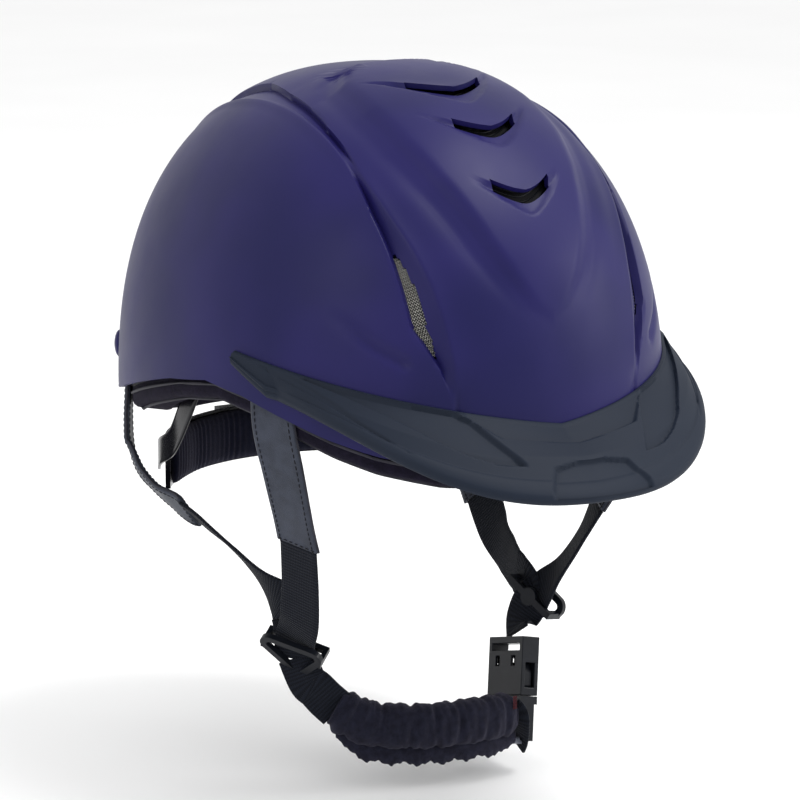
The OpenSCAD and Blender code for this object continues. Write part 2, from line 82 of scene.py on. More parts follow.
def soft_panel(name, place, size, power):
    """A square area light that faces the helmet."""
    data = bpy.data.lights.new(name, "AREA")
    data.size = size
    data.energy = power
    lamp = bpy.data.objects.new(name, data)
    scene.collection.objects.link(lamp)
    lamp.location = place
    lamp.rotation_euler = (aim - lamp.location).to_track_quat("-Z", "Y").to_euler()


soft_panel("top_panel", (0.5, -0.5, 1.5), 0.7, 18)
soft_panel("near_panel", (-1.6, -0.3, 0.9), 0.8, 5)
soft_panel("far_panel", (1.5, -1.1, 0.7), 0.8, 12)

# %% [markdown]
# ## Shader maths as Python
# A procedural finish is a sum of a few patterns. The class below wraps one shader socket and
# lets `+ - * /` add Math nodes, so a pattern reads like a formula. `add` makes any other node.


# %% The socket class
class Wire:
    """One shader output that Python's operators work on."""

    def __init__(self, tree, socket):
        self.tree, self.socket = tree, socket

    def add(self, kind, settings=None, out=0, **sockets):
        return add(self.tree, kind, settings, out, **sockets)

    def maths(self, operation, first, second=0.0):
        return add(self.tree, "ShaderNodeMath", {"operation": operation}, 0, _0=first, _1=second)

    def __add__(self, other):
        return self.maths("ADD", self, other)

    def __radd__(self, other):
        return self.maths("ADD", other, self)

    def __sub__(self, other):
        return self.maths("SUBTRACT", self, other)

    def __rsub__(self, other):
        return self.maths("SUBTRACT", other, self)

    def __mul__(self, other):
        return self.maths("MULTIPLY", self, other)

    def __rmul__(self, other):
        return self.maths("MULTIPLY", other, self)

    def __truediv__(self, other):
        return self.maths("DIVIDE", self, other)

    def sine(self):
        return self.maths("SINE", self)

    def step(self, low, high):
        """0 below low, 1 above high, and a smooth ramp between."""
        return self.add("ShaderNodeMapRange", {"interpolation_type": "SMOOTHSTEP"}, 0,
                        Value=self, From_Min=low, From_Max=high)


def add(tree, kind, settings=None, out=0, **sockets):
    """A node of this kind. Sockets are named with _ for a space, or _0, _1 by number."""
    node = tree.nodes.new(kind)
    for key, value in (settings or {}).items():
        setattr(node, key, value)
    for key, value in sockets.items():
        name = int(key[1:]) if key[0] == "_" else key.replace("_", " ")
        socket = node.inputs[name]
        if isinstance(value, Wire):
            tree.links.new(value.socket, socket)
        else:
            socket.default_value = value
    return Wire(tree, node.outputs[out])


def finish(name, **sockets):
    """A material with a Principled shader: constants are set on its own sockets."""
    material = bpy.data.materials.new(name)
    material.use_nodes = True
    tree = material.node_tree
    surface = tree.nodes["Principled BSDF"]
    for key, value in sockets.items():
        surface.inputs[key.replace("_", " ")].default_value = value
    return material, tree, surface


def colour_between(tree, mask, first, second):
    """A colour that goes from first to second as mask goes from 0 to 1."""
    return add(tree, "ShaderNodeMix", {"data_type": "RGBA"}, 2,
               _0=mask, _6=(*first, 1), _7=(*second, 1))


def wire_up(tree, surface, colour=None, rough=None, height=None, depth=0.0002, strength=0.6):
    """Links a colour, a roughness and a height (as bump) to the Principled shader."""
    if colour is not None:
        tree.links.new(colour.socket, surface.inputs["Base Color"])
    if rough is not None:
        tree.links.new(rough.socket, surface.inputs["Roughness"])
    if height is not None:
        bump = add(tree, "ShaderNodeBump", None, 0, Strength=strength, Distance=depth,
                   Height=height)
        tree.links.new(bump.socket, surface.inputs["Normal"])


def place_of(tree):
    return add(tree, "ShaderNodeTexCoord", None, 3)


def noise(tree, vector, scale, detail=3.0, rough=0.55):
    return add(tree, "ShaderNodeTexNoise", None, 0, Vector=vector, Scale=scale, Detail=detail,
               Roughness=rough)


# %% [markdown]
# ## Finishes
# The shell has a satin, slightly soft-feeling purple paint: its colour drifts a little from
# indigo to violet. Its sheen weight is left at 0. Constants sit on the shader, and only colour,
# roughness and bump vary.

# %% Shell paint
shell_paint, tree, surface = finish("shell_paint", Sheen_Weight=0.0, Sheen_Roughness=0.45,
                                    Specular_IOR_Level=0.17)
surface.inputs["Sheen Tint"].default_value = (0.75, 0.72, 1.0, 1)
spot = place_of(tree)
cloud = noise(tree, spot, 14, 2)
speck = noise(tree, spot, 1400, 2, 0.6)
wire_up(tree, surface,
        colour_between(tree, cloud.step(0.35, 0.65), (0.0060, 0.0055, 0.054),
                       (0.0105, 0.0082, 0.072)),
        0.36 + 0.10 * noise(tree, spot, 60, 3) + 0.05 * speck,
        speck, 0.00003, 0.35)

# %% [markdown]
# Rubber for the peak is matte and slate grey. Fine grain and a few long, faint moulding streaks
# keep it from looking like plastic.

# %% Peak rubber
peak_rubber, tree, surface = finish("peak_rubber", Specular_IOR_Level=0.14, Sheen_Weight=0.0,
                                    Sheen_Roughness=0.6)
spot = place_of(tree)
grain = noise(tree, spot, 2200, 2, 0.65)
streak = noise(tree, add(tree, "ShaderNodeMapping", None, 0, Vector=spot, Scale=(6, 6, 40)), 2.5)
wire_up(tree, surface,
        colour_between(tree, 0.5 * streak + 0.5 * grain, (0.0055, 0.009, 0.018),
                       (0.011, 0.0165, 0.029)),
        0.50 + 0.16 * grain, grain, 0.00005, 0.5)

# %% [markdown]
# Webbing is woven: ribs run across it, split by fine lengthwise threads. The pattern reads the
# strap's own UV map, whose u is millimetres across and v millimetres along, so it bends with
# the strap.


# %% Webbing, felt, fleece and the cover's leather-look
def woven(name, dark, light, pitch):
    """Ribbed webbing in the strap's own millimetres."""
    material, tree, surface = finish(name, Specular_IOR_Level=0.12, Sheen_Weight=0.05,
                                     Sheen_Roughness=0.4)
    chart = add(tree, "ShaderNodeUVMap", {"uv_map": "UVMap"})
    split = add(tree, "ShaderNodeSeparateXYZ", None, 0, Vector=chart)
    across, along = split, Wire(tree, split.socket.node.outputs[1])
    thread = (across * (math.tau / 0.9)).sine()
    rib = ((along + 0.12 * thread) * (math.tau / pitch)).sine().step(-0.9, 0.9)
    fuzz = noise(tree, place_of(tree), 1800, 3, 0.7)
    wire_up(tree, surface,
            colour_between(tree, 0.55 * rib + 0.2 * thread.step(-1, 1) + 0.35 * fuzz, dark, light),
            0.78 + 0.15 * fuzz, rib + 0.35 * thread + 0.3 * fuzz, 0.00022, 0.8)
    return material


webbing_cloth = woven("webbing_cloth", (0.002, 0.0025, 0.0045), (0.009, 0.011, 0.018), 1.5)


def fuzzy(name, dark, light, scale, depth, sheen):
    """Felt, fleece or velvet: clumps of short fibre under a soft sheen."""
    material, tree, surface = finish(name, Specular_IOR_Level=0.06, Sheen_Weight=sheen,
                                     Sheen_Roughness=0.5)
    surface.inputs["Sheen Tint"].default_value = (0.8, 0.75, 0.95, 1)
    spot = place_of(tree)
    clump = noise(tree, spot, scale, 4, 0.65)
    fibre = noise(tree, spot, scale * 9, 3, 0.7)
    wire_up(tree, surface, colour_between(tree, (0.55 * clump + 0.45 * fibre).step(0.3, 0.7),
                                          dark, light),
            0.88 + 0.1 * clump, clump + 0.7 * fibre, depth, 0.9)
    return material


trim_felt = fuzzy("trim_felt", (0.003, 0.0027, 0.006), (0.011, 0.009, 0.019), 260, 0.0004, 0.03)
sleeve_fleece = fuzzy("sleeve_fleece", (0.004, 0.004, 0.008), (0.015, 0.016, 0.029), 330, 0.0005,
                      0.10)
pad_cloth = fuzzy("pad_cloth", (0.009, 0.009, 0.014), (0.026, 0.026, 0.038), 400, 0.0002, 0.25)
cradle_velvet = fuzzy("cradle_velvet", (0.002, 0.0025, 0.007), (0.005, 0.006, 0.016), 500, 0.0002,
                      0.12)

cover_leather, tree, surface = finish("cover_leather", Specular_IOR_Level=0.25)
spot = place_of(tree)
pore = add(tree, "ShaderNodeTexVoronoi", {"feature": "DISTANCE_TO_EDGE"}, 0, Vector=spot,
           Scale=900.0)
wrinkle = noise(tree, spot, 120, 4)
wire_up(tree, surface,
        colour_between(tree, wrinkle.step(0.3, 0.7), (0.017, 0.021, 0.034), (0.030, 0.036, 0.055)),
        0.42 + 0.18 * wrinkle, pore.step(0.0, 0.12) + 0.8 * wrinkle, 0.00012, 0.5)


# %% [markdown]
# Moulded plastic, steel and foam are harder. Plastic needs a fine texture in its gloss, steel has
# long brush marks, and the foam shows the beads that it was blown from.

# %% Hard finishes
def moulded(name, dark, light, low, high):
    """Moulded plastic: a faint drift in colour and a fine texture in the gloss."""
    material, tree, surface = finish(name, Specular_IOR_Level=0.2)
    spot = place_of(tree)
    drift = noise(tree, spot, 90, 3)
    fine = noise(tree, spot, 2600, 2, 0.6)
    wire_up(tree, surface, colour_between(tree, drift.step(0.3, 0.7), dark, light),
            low + (high - low) * fine, fine, 0.00003, 0.4)
    return material


buckle_plastic = moulded("buckle_plastic", (0.003, 0.004, 0.0065), (0.007, 0.008, 0.012), 0.25,
                         0.42)
cradle_gloss = moulded("cradle_gloss", (0.004, 0.004, 0.006), (0.008, 0.008, 0.011), 0.10, 0.25)
end_tab_grey = moulded("end_tab_grey", (0.10, 0.11, 0.14), (0.17, 0.18, 0.22), 0.2, 0.35)
thread_black = moulded("thread_black", (0.004, 0.004, 0.006), (0.012, 0.012, 0.016), 0.6, 0.8)
thread_red = moulded("thread_red", (0.05, 0.008, 0.012), (0.09, 0.014, 0.02), 0.6, 0.8)
piping_grey = moulded("piping_grey", (0.012, 0.012, 0.018), (0.024, 0.023, 0.032), 0.5, 0.7)
# black for the sheets behind the vents and slots: painted shade of the helmet's dark hollow
painted_shade_black = moulded("painted_shade_black", (0.003, 0.003, 0.004), (0.006, 0.006, 0.008), 0.7, 0.9)

bare_steel, tree, surface = finish("bare_steel", Metallic=1.0)
spot = place_of(tree)
brushing = noise(tree, add(tree, "ShaderNodeMapping", None, 0, Vector=spot, Scale=(1, 1, 25)), 300)
wire_up(tree, surface, colour_between(tree, brushing, (0.50, 0.50, 0.51), (0.68, 0.68, 0.69)),
        0.28 + 0.15 * brushing, brushing, 0.00002, 0.3)

vent_wire, tree, surface = finish("vent_wire", Metallic=0.35)
glint = noise(tree, place_of(tree), 900, 2)
wire_up(tree, surface, colour_between(tree, glint.step(0.3, 0.7), (0.42, 0.42, 0.38),
                                      (0.75, 0.74, 0.68)), 0.35 + 0.2 * glint)

foam_beads, tree, surface = finish("foam_beads", Specular_IOR_Level=0.3)
spot = place_of(tree)
bead = add(tree, "ShaderNodeTexVoronoi", None, 0, Vector=spot, Scale=380.0)
wire_up(tree, surface, colour_between(tree, bead.step(0.0, 0.7), (0.030, 0.030, 0.034),
                                      (0.012, 0.012, 0.014)),
        0.72 + 0.2 * bead, 1 - bead, 0.0004, 0.7)

floor_white, tree, surface = finish("floor_white", Roughness=0.85)
wire_up(tree, surface, colour_between(tree, noise(tree, place_of(tree), 3, 2), (0.94, 0.94, 0.94),
                                      (0.88, 0.88, 0.88)))
print(len(bpy.data.materials), "finishes")

# %% [markdown]
# ## Mesh helpers
# Most soft and moulded pieces here are grids: rings of points joined row by row. One helper joins
# them, closes their ends and writes a UV map in millimetres.


# %% Grids and rings
def make_piece(name, points, faces, material, charts=None):
    """A mesh object from points in millimetres; charts gives each face corner's (u, v)."""
    mesh = bpy.data.meshes.new(name)
    mesh.from_pydata([tuple(p) for p in np.asarray(points, float) * MM], [], faces)
    if charts is not None:
        layer = mesh.uv_layers.new(name="UVMap")
        layer.data.foreach_set("uv", np.asarray(charts, np.float32).ravel())
    mesh.materials.append(material)
    mesh.polygons.foreach_set("use_smooth", [True] * len(mesh.polygons))
    mesh.update()
    piece = bpy.data.objects.new(name, mesh)
    scene.collection.objects.link(piece)
    return piece


def right_way_round(piece):
    """Merges doubles and turns every face outwards."""
    work = bmesh.new()
    work.from_mesh(piece.data)
    bmesh.ops.remove_doubles(work, verts=work.verts, dist=1e-6)
    bmesh.ops.recalc_face_normals(work, faces=work.faces)
    work.to_mesh(piece.data)
    work.free()
    return piece


def loft(name, rings, material, closed=False, caps=True, flow=None):
    """Joins equal rings of points into a tube. flow is each ring's distance along it."""
    rings = np.asarray(rings, float)
    n, m = rings.shape[:2]
    if flow is None:
        steps = np.linalg.norm(np.diff(rings.mean(1), axis=0), axis=1)
        flow = np.concatenate([[0], np.cumsum(steps)])
    girth = np.linalg.norm(np.diff(np.vstack([rings[n // 2], rings[n // 2][:1]]), axis=0), axis=1)
    girth = np.concatenate([[0], np.cumsum(girth)])
    faces, charts = [], []
    for i in range(n if closed else n - 1):
        k = (i + 1) % n
        for j in range(m):
            q = (j + 1) % m
            faces.append((i * m + j, i * m + q, k * m + q, k * m + j))
            far = flow[k] if k else flow[i] + (flow[1] - flow[0])
            charts += [(girth[j], flow[i]), (girth[j + 1], flow[i]), (girth[j + 1], far),
                       (girth[j], far)]
    if caps and not closed:
        for ring, turn in ((0, -1), (n - 1, 1)):
            order = list(range(m))[::turn]
            faces.append([ring * m + j for j in order])
            charts += [(girth[j], flow[ring]) for j in order]
    piece = make_piece(name, rings.reshape(-1, 3), faces, material, charts)
    return right_way_round(piece)


def settle(piece, angle=40):
    """Applies a piece's modifiers and marks its sharp edges."""
    bpy.context.view_layer.update()
    mesh = bpy.data.meshes.new_from_object(
        piece.evaluated_get(bpy.context.evaluated_depsgraph_get()))
    mesh.name = piece.name
    piece.modifiers.clear()
    piece.data = mesh
    mesh.polygons.foreach_set("use_smooth", [True] * len(mesh.polygons))
    mesh.set_sharp_from_angle(angle=math.radians(angle))
    return piece


def join_pieces(name, pieces):
    """One object from several meshes; each keeps its own material."""
    work = bmesh.new()
    materials = []
    for piece in pieces:
        start = len(work.faces)
        work.from_mesh(piece.data)
        work.faces.ensure_lookup_table()
        table = []
        for material in piece.data.materials:
            if material not in materials:
                materials.append(material)
            table.append(materials.index(material))
        for face in work.faces[start:]:
            face.material_index = table[face.material_index]
    mesh = bpy.data.meshes.new(name)
    work.to_mesh(mesh)
    work.free()
    for material in materials:
        mesh.materials.append(material)
    for piece in pieces:
        bpy.data.objects.remove(piece)
    joined = bpy.data.objects.new(name, mesh)
    scene.collection.objects.link(joined)
    return joined


def dress(piece, body, slot, *nodes):
    """Says what a finished piece moves with and what it stands for; the slot argument is not used.
    """
    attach(piece, body)
    if nodes:
        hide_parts(*nodes)
    print(f"{piece.name}: {len(piece.data.polygons)} faces on {body}")
    return piece


# %% [markdown]
# ## Paths with Geometry Nodes
# Stitches and wires repeat along a line, so two small node trees make them. One sets a capsule
# at every pitch and turns it along the line; the other sweeps a round profile. Their sizes are
# named inputs, set through the sockets' identifiers before the result is evaluated.


# %% Stitch and wire trees
def new_tree(name, sizes):
    tree = bpy.data.node_groups.new(name, "GeometryNodeTree")
    tree.interface.new_socket("Geometry", in_out="INPUT", socket_type="NodeSocketGeometry")
    for size in sizes:
        tree.interface.new_socket(size, in_out="INPUT", socket_type="NodeSocketFloat")
    tree.interface.new_socket("Thread", in_out="INPUT", socket_type="NodeSocketMaterial")
    tree.interface.new_socket("Geometry", in_out="OUTPUT", socket_type="NodeSocketGeometry")
    return tree, tree.nodes.new("NodeGroupInput"), tree.nodes.new("NodeGroupOutput")


def chain(tree, *links):
    for (a, out), (b, into) in links:
        tree.links.new(a.outputs[out], b.inputs[into])


stitch_tree, given, result = new_tree("stitch_row", ("Pitch", "Length", "Thickness"))
new = stitch_tree.nodes.new
line = new("GeometryNodeMeshToCurve")
spaced = new("GeometryNodeResampleCurve")
spaced.mode = "LENGTH"
bead_shape = new("GeometryNodeMeshUVSphere")
bead_shape.inputs["Segments"].default_value = 8
bead_shape.inputs["Rings"].default_value = 5
bead_shape.inputs["Radius"].default_value = 0.5
bead_size = new("ShaderNodeCombineXYZ")
tangent = new("GeometryNodeInputTangent")
turned = new("FunctionNodeAlignRotationToVector")
turned.axis = "Z"
placed = new("GeometryNodeInstanceOnPoints")
real = new("GeometryNodeRealizeInstances")
coat = new("GeometryNodeSetMaterial")
chain(stitch_tree,
      ((given, "Geometry"), (line, "Mesh")), ((line, "Curve"), (spaced, "Curve")),
      ((given, "Pitch"), (spaced, "Length")), ((given, "Thickness"), (bead_size, "X")),
      ((given, "Thickness"), (bead_size, "Y")), ((given, "Length"), (bead_size, "Z")),
      ((tangent, "Tangent"), (turned, "Vector")), ((spaced, "Curve"), (placed, "Points")),
      ((bead_shape, "Mesh"), (placed, "Instance")), ((turned, "Rotation"), (placed, "Rotation")),
      ((bead_size, "Vector"), (placed, "Scale")), ((placed, "Instances"), (real, "Geometry")),
      ((real, "Geometry"), (coat, "Geometry")), ((given, "Thread"), (coat, "Material")),
      ((coat, "Geometry"), (result, "Geometry")))

wire_tree, given, result = new_tree("swept_wire", ("Radius",))
new = wire_tree.nodes.new
line = new("GeometryNodeMeshToCurve")
ring = new("GeometryNodeCurvePrimitiveCircle")
ring.inputs["Resolution"].default_value = 6
swept = new("GeometryNodeCurveToMesh")
swept.inputs["Fill Caps"].default_value = True
real = new("GeometryNodeRealizeInstances")
coat = new("GeometryNodeSetMaterial")
chain(wire_tree,
      ((given, "Geometry"), (line, "Mesh")), ((line, "Curve"), (swept, "Curve")),
      ((given, "Radius"), (ring, "Radius")), ((ring, "Curve"), (swept, "Profile Curve")),
      ((swept, "Mesh"), (real, "Geometry")), ((real, "Geometry"), (coat, "Geometry")),
      ((given, "Thread"), (coat, "Material")), ((coat, "Geometry"), (result, "Geometry")))


def along_lines(name, tree, lines, material, **sizes):
    """Runs a tree on polylines given in millimetres and keeps the plain mesh."""
    points, edges = [], []
    for row in lines:
        start = len(points)
        points += [tuple(np.asarray(p, float) * MM) for p in row]
        edges += [(start + i, start + i + 1) for i in range(len(row) - 1)]
    mesh = bpy.data.meshes.new(name)
    mesh.from_pydata(points, edges, [])
    piece = bpy.data.objects.new(name, mesh)
    scene.collection.objects.link(piece)
    modifier = piece.modifiers.new("rows", "NODES")
    modifier.node_group = tree
    for item in tree.interface.items_tree:
        if item.in_out == "INPUT" and item.name in sizes:
            modifier[item.identifier] = float(sizes[item.name] * MM)
        if item.in_out == "INPUT" and item.name == "Thread":
            modifier[item.identifier] = material
    return settle(piece, 60)


def sew(name, lines, material, pitch=2.6, length=2.0, thick=0.55):
    return along_lines(name, stitch_tree, lines, material, Pitch=pitch, Length=length,
                       Thickness=thick)


def sweep(name, lines, material, radius):
    return along_lines(name, wire_tree, lines, material, Radius=radius)


print("trees:", stitch_tree.name, "and", wire_tree.name)

# %% [markdown]
# ## The crown's shape
# The crown is a superellipsoid. Its moulded features run front to back, so the shell's grid does
# too: a row is a plane turned about the ear-to-ear axis by an angle (0 at the front, 90 on top),
# and a point's place in the row is its distance from the middle.

# %% Crown functions
HALF_W, HALF_L, HALF_H, MID_Z = 107.0, 137.75, 146.4, 19.8
PLAN_POWER, SIDE_POWER = 0.92, 0.85
RIM_ANGLES = [0, 25, 40, 50, 60, 70, 80, 90, 100, 120, 150, 180]
RIM_LEVELS = [15, 16.5, 21.2, 26.4, 33, 39.5, 42.6, 39, 33, 21.2, 12.5, 10]


def signed_power(v, e):
    return np.sign(v) * np.abs(v) ** e


def crown_at(plan, z, off=0.0):
    """A point of the crown at a plan angle (270 is the front) and a level."""
    s = np.clip(np.abs(z - MID_Z) / (HALF_H + off), 0, 1) ** (1 / SIDE_POWER)
    ring = np.sqrt(1 - s * s) ** SIDE_POWER
    a = np.radians(plan)
    return np.stack([(HALF_W + off) * ring * signed_power(np.cos(a), PLAN_POWER),
                     (HALF_L + off) * ring * signed_power(np.sin(a), PLAN_POWER),
                     z + 0 * ring], -1)


def rim_level(plan):
    away = np.abs((np.asarray(plan) - 270 + 180) % 360 - 180)
    return np.interp(away, RIM_ANGLES, RIM_LEVELS)


def crown_field(p, off=0.0):
    """1 on the crown, less inside it."""
    x, y, z = np.abs(p[..., 0]) / (HALF_W + off), np.abs(p[..., 1]) / (HALF_L + off), \
        np.abs(p[..., 2] - MID_Z) / (HALF_H + off)
    flat = (x ** (2 / PLAN_POWER) + y ** (2 / PLAN_POWER)) ** (PLAN_POWER / SIDE_POWER)
    return flat + z ** (2 / SIDE_POWER)


def crown_by_turn(turn, x, off=0.0):
    """Points at a turn about the ear-to-ear axis and a distance x from the middle."""
    t = np.radians(turn)
    low, high = np.zeros_like(x), np.full_like(x, 175.0)
    for _ in range(34):
        r = (low + high) / 2
        p = np.stack([x, -r * np.cos(t), 20 + r * np.sin(t)], -1)
        inside = crown_field(p, off) < 1
        low, high = np.where(inside, r, low), np.where(inside, high, r)
    return np.stack([x, -low * np.cos(t), 20 + low * np.sin(t)], -1)


def crown_normal(p):
    steps = np.eye(3) * 0.01
    n = np.stack([crown_field(p + s) - crown_field(p - s) for s in steps], -1)
    return n / np.linalg.norm(n, axis=-1, keepdims=True)


def ramp(v, low, high):
    t = np.clip((v - low) / (high - low), 0, 1)
    return t * t * (3 - 2 * t)


# %% [markdown]
# Three lines steer the shell's relief: the side panel's lip, the centre band's edge and the
# hood's half width, each by turn. Between band and panel lies a channel that is deepest beside
# the panel in front and beside the band on top. Grid columns follow these lines, so that the
# lips stay crisp.


# %% Relief of the shell
def panel_lip(turn):
    return np.interp(turn, [12, 17, 21, 25, 37, 48, 62, 75, 95, 120, 150, 185],
                     [45.8, 49, 53, 57, 58.3, 59.4, 58.2, 57, 54, 51, 48, 44])


def band_edge(turn):
    return np.interp(turn, [11, 17, 24, 31, 38, 45, 52, 58, 63, 70, 78, 88, 101, 125, 150, 185],
                     [43.4, 43.7, 45.2, 47.3, 50.5, 54, 56, 56.4, 56, 55, 52.5, 49, 42, 37, 32, 24])


def hood_edge(turn):
    return np.interp(turn, [20, 22, 25, 30, 36, 42, 50, 58, 69, 80, 85, 88, 90, 92],
                     [0, 3, 12, 20, 27, 32, 38, 42, 43, 40, 33, 24, 14, 0])


# Each chevron: outline's apex, slot's lower and upper edge (turns), slot and outline half width
CHEVRONS = [(39.5, 41.8, 43.8, 13.3, 19), (52.4, 55.1, 56.9, 15.6, 23),
            (63.6, 67.2, 68.7, 17.4, 28)]


def arrow(x, row):
    """How far a row bends back at a distance from the middle, so that rows follow the chevrons."""
    x = np.minimum(np.sqrt(x * x + 12) - 3.46, 30)
    return (0.18 * x + 0.0072 * x * x) * ramp(row, 10, 38) * (1 - ramp(row, 74, 125))


def relief(turn, x, row, p):
    """Height of the shell's relief in millimetres."""
    edge, lip = band_edge(turn), panel_lip(turn)
    lip = np.maximum(lip, edge + 1.8)
    t = np.clip((x - edge) / (lip - edge), 0, 1)
    low = 3.7 * ramp(turn, 11, 20) * (1 - ramp(turn, 51, 62))
    high = 3.2 * ramp(turn, 56, 68) * (1 - ramp(turn, 112, 142))
    h = -low * t ** 1.25 * (1 - ramp(x, lip - 0.5, lip + 0.5))
    h -= high * (1 - t) ** 0.8 * ramp(x, edge - 0.3, edge + 0.5) * (x < lip)
    h += 0.7 * np.exp(-((x - edge) / 2.6) ** 2) * (low > 0) * low / 3.7
    h += 0.8 * np.exp(-((x - lip - 1.2) / 1.6) ** 2) * high / 3.2 * (x > lip)
    h -= 0.9 * np.exp(-((x - 43.6) / 1.1) ** 2) * (1 - ramp(turn, 9, 14))
    hood = hood_edge(turn)
    inset = np.minimum(hood - x, (91 - turn) * 2.2)
    h += 2.4 * ramp(inset, 0, 8) * (hood > 0) * ramp(turn, 20, 34)
    h -= 0.9 * np.exp(-((x - hood - 4) / 4.0) ** 2) * ramp(turn, 22, 34) * (1 - ramp(turn, 80, 98))
    for apex, lower, upper, _, tip in CHEVRONS:
        taper = np.clip(1 - x / tip, 0, 1)
        out = lower - (lower - apex) * taper ** 0.8
        top = lower + (upper - lower) * np.sqrt(taper)
        inside = ramp(row, out - 0.02, out + 0.4) * (1 - ramp(row, top - 0.25, top + 0.1))
        floor = 0.5 + 0.5 * np.clip((row - out) / (lower - out + 0.01), 0, 1)
        h -= 2.0 * floor * taper ** 0.35 * inside
        brow = np.exp(-np.clip(row - top, 0, 9) / 1.6) * (row >= top)
        h += 0.9 * brow * taper ** 0.5
    crease = np.array([[79.5, -86, 79], [69.8, -104, 66.3], [61, -114.5, 59.5]])
    q = np.stack([x, p[..., 1], p[..., 2]], -1)
    near = np.full(x.shape, 99.0)
    for a, b in zip(crease[:-1], crease[1:]):
        s = np.clip(((q - a) @ (b - a)) / ((b - a) @ (b - a)), 0, 1)
        near = np.minimum(near, np.linalg.norm(q - a - s[..., None] * (b - a), axis=-1))
    fade = np.clip((crease[0][2] - q[..., 2]) / 14, 0, 1)
    return h - 1.9 * fade * np.exp(-(near / 2.0) ** 2)


# %% [markdown]
# A row's columns are packed where the relief turns sharply and spaced out where it is calm. Rows
# follow each chevron's edges exactly, so that a slot's edge is a clean line of vertices.

# %% Rows and columns of the shell
def spread(low, high, count):
    return list(np.linspace(low, high, count, endpoint=False))


exact = sorted([v for c in CHEVRONS for v in c[:3]] + [v + 0.4 for c in CHEVRONS for v in c[:2]]
               + [c[2] - 0.3 for c in CHEVRONS])
rows = spread(-2.1, 8, 12) + spread(8, 94, 125) + spread(94, 184.2, 62) + [184.2]
rows = sorted([r for r in rows if min(abs(r - e) for e in exact) > 0.3] + exact)
rows = np.array(rows)


def rim_reach(row):
    """Distance from the middle at which each row meets the rim."""
    low, high = np.zeros_like(row), np.full_like(row, 106.9)
    for _ in range(30):
        x = (low + high) / 2
        p = crown_by_turn(row + arrow(x, row), x)
        plan = np.degrees(np.arctan2(signed_power(p[..., 1] / HALF_L, 1 / PLAN_POWER),
                                     signed_power(p[..., 0] / HALF_W, 1 / PLAN_POWER)))
        inside = p[..., 2] > rim_level(plan)
        low, high = np.where(inside, x, low), np.where(inside, high, x)
    return low


reach = rim_reach(rows)


def column_places(row, limit):
    """Distances from the middle of one row's columns: dense at the hood's edge and at the lips."""
    turn = row + arrow(np.float64(30), row)
    hood = max(hood_edge(row + arrow(np.float64(35), row)), 12)
    edge = band_edge(turn)
    lip = max(panel_lip(turn), edge + 1.8)
    hood = min(hood, edge - 9)
    stops = [(0, hood - 4, 16), (hood - 4, hood + 5, 8), (hood + 5, edge - 1.2, 6),
             (edge - 1.2, edge + 1.2, 5), (edge + 1.2, lip - 0.8, 9), (lip - 0.8, lip + 0.8, 6),
             (lip + 0.8, max(limit, lip + 2), 34)]
    places = np.array([v for low, high, count in stops for v in spread(low, high, count)]
                      + [max(limit, lip + 2)])
    return places * min(1, limit / places[-1])


half = np.array([column_places(r, w) for r, w in zip(rows, reach)])
row_grid = np.repeat(rows[:, None], half.shape[1], 1)
turn_grid = row_grid + arrow(half, row_grid)
base = crown_by_turn(turn_grid, half)
lifted = base + crown_normal(base) * relief(turn_grid, half, row_grid, base)[..., None]
print("shell grid:", half.shape)

# %% [markdown]
# The slots and the side vents are real openings: the faces there are left out before the sheet
# gets its thickness, so that each opening has walls.


# %% The shell
def shell_openings(row, turn, x):
    """True where the shell is cut through."""
    cut = np.zeros(x.shape, bool)
    for _, lower, upper, reach_x, _ in CHEVRONS:
        cut |= (row > lower) & (row < upper) & (x < reach_x)
    t = (x - band_edge(turn)) / np.maximum(panel_lip(turn) - band_edge(turn), 1)
    taper = np.sin(math.pi * np.clip((turn - 18.5) / 21.5, 0, 1)) ** 0.5
    return cut | ((t > 0.96 - 0.42 * taper) & (t < 0.96) & (taper > 0.25))


n_rows = len(half)
full = np.concatenate([lifted[:, :0:-1] * [-1, 1, 1], lifted], 1)
n_cols = full.shape[1]
mid = [(0.25 * (g[:-1, :-1] + g[1:, :-1] + g[:-1, 1:] + g[1:, 1:]))
       for g in (row_grid, turn_grid, half)]
cut_half = shell_openings(*mid)
cut = np.concatenate([cut_half[:, ::-1], cut_half], 1)
faces = [(i * n_cols + j, i * n_cols + j + 1, (i + 1) * n_cols + j + 1, (i + 1) * n_cols + j)
         for i in range(n_rows - 1) for j in range(n_cols - 1) if not cut[i, j]]
shell = make_piece("shell", full.reshape(-1, 3), faces, shell_paint)
work = bmesh.new()
work.from_mesh(shell.data)
bmesh.ops.remove_doubles(work, verts=work.verts, dist=2e-5)
bmesh.ops.recalc_face_normals(work, faces=work.faces)
top_face = max(work.faces, key=lambda f: f.calc_center_median().z)
if top_face.normal.z < 0:
    bmesh.ops.reverse_faces(work, faces=work.faces)
loose = [v for v in work.verts if not v.link_faces]
bmesh.ops.delete(work, geom=loose, context="VERTS")
work.to_mesh(shell.data)
work.free()
wall = shell.modifiers.new("wall", "SOLIDIFY")
wall.thickness = 2.3 * MM
wall.offset = -1
settle(shell, 50)
dress(shell, "helmet", "shell", "outer_shell")

# %% [markdown]
# ## Liner, edge trim and vents
# The foam liner and its felt edge are walls of revolution that follow the crown and its rim. The
# trim has a piping cord along its lower edge.


# %% Liner and trim
def rim_ring(plan, section):
    """Rings round the helmet: section gives (offset or cavity share, drop below the rim)."""
    rings = []
    for a in plan:
        level = rim_level(a)
        rings.append([crown_at(a, level + drop, off) if inner is None
                      else cavity_at(a, level + drop, inner) for off, inner, drop in section])
    return rings


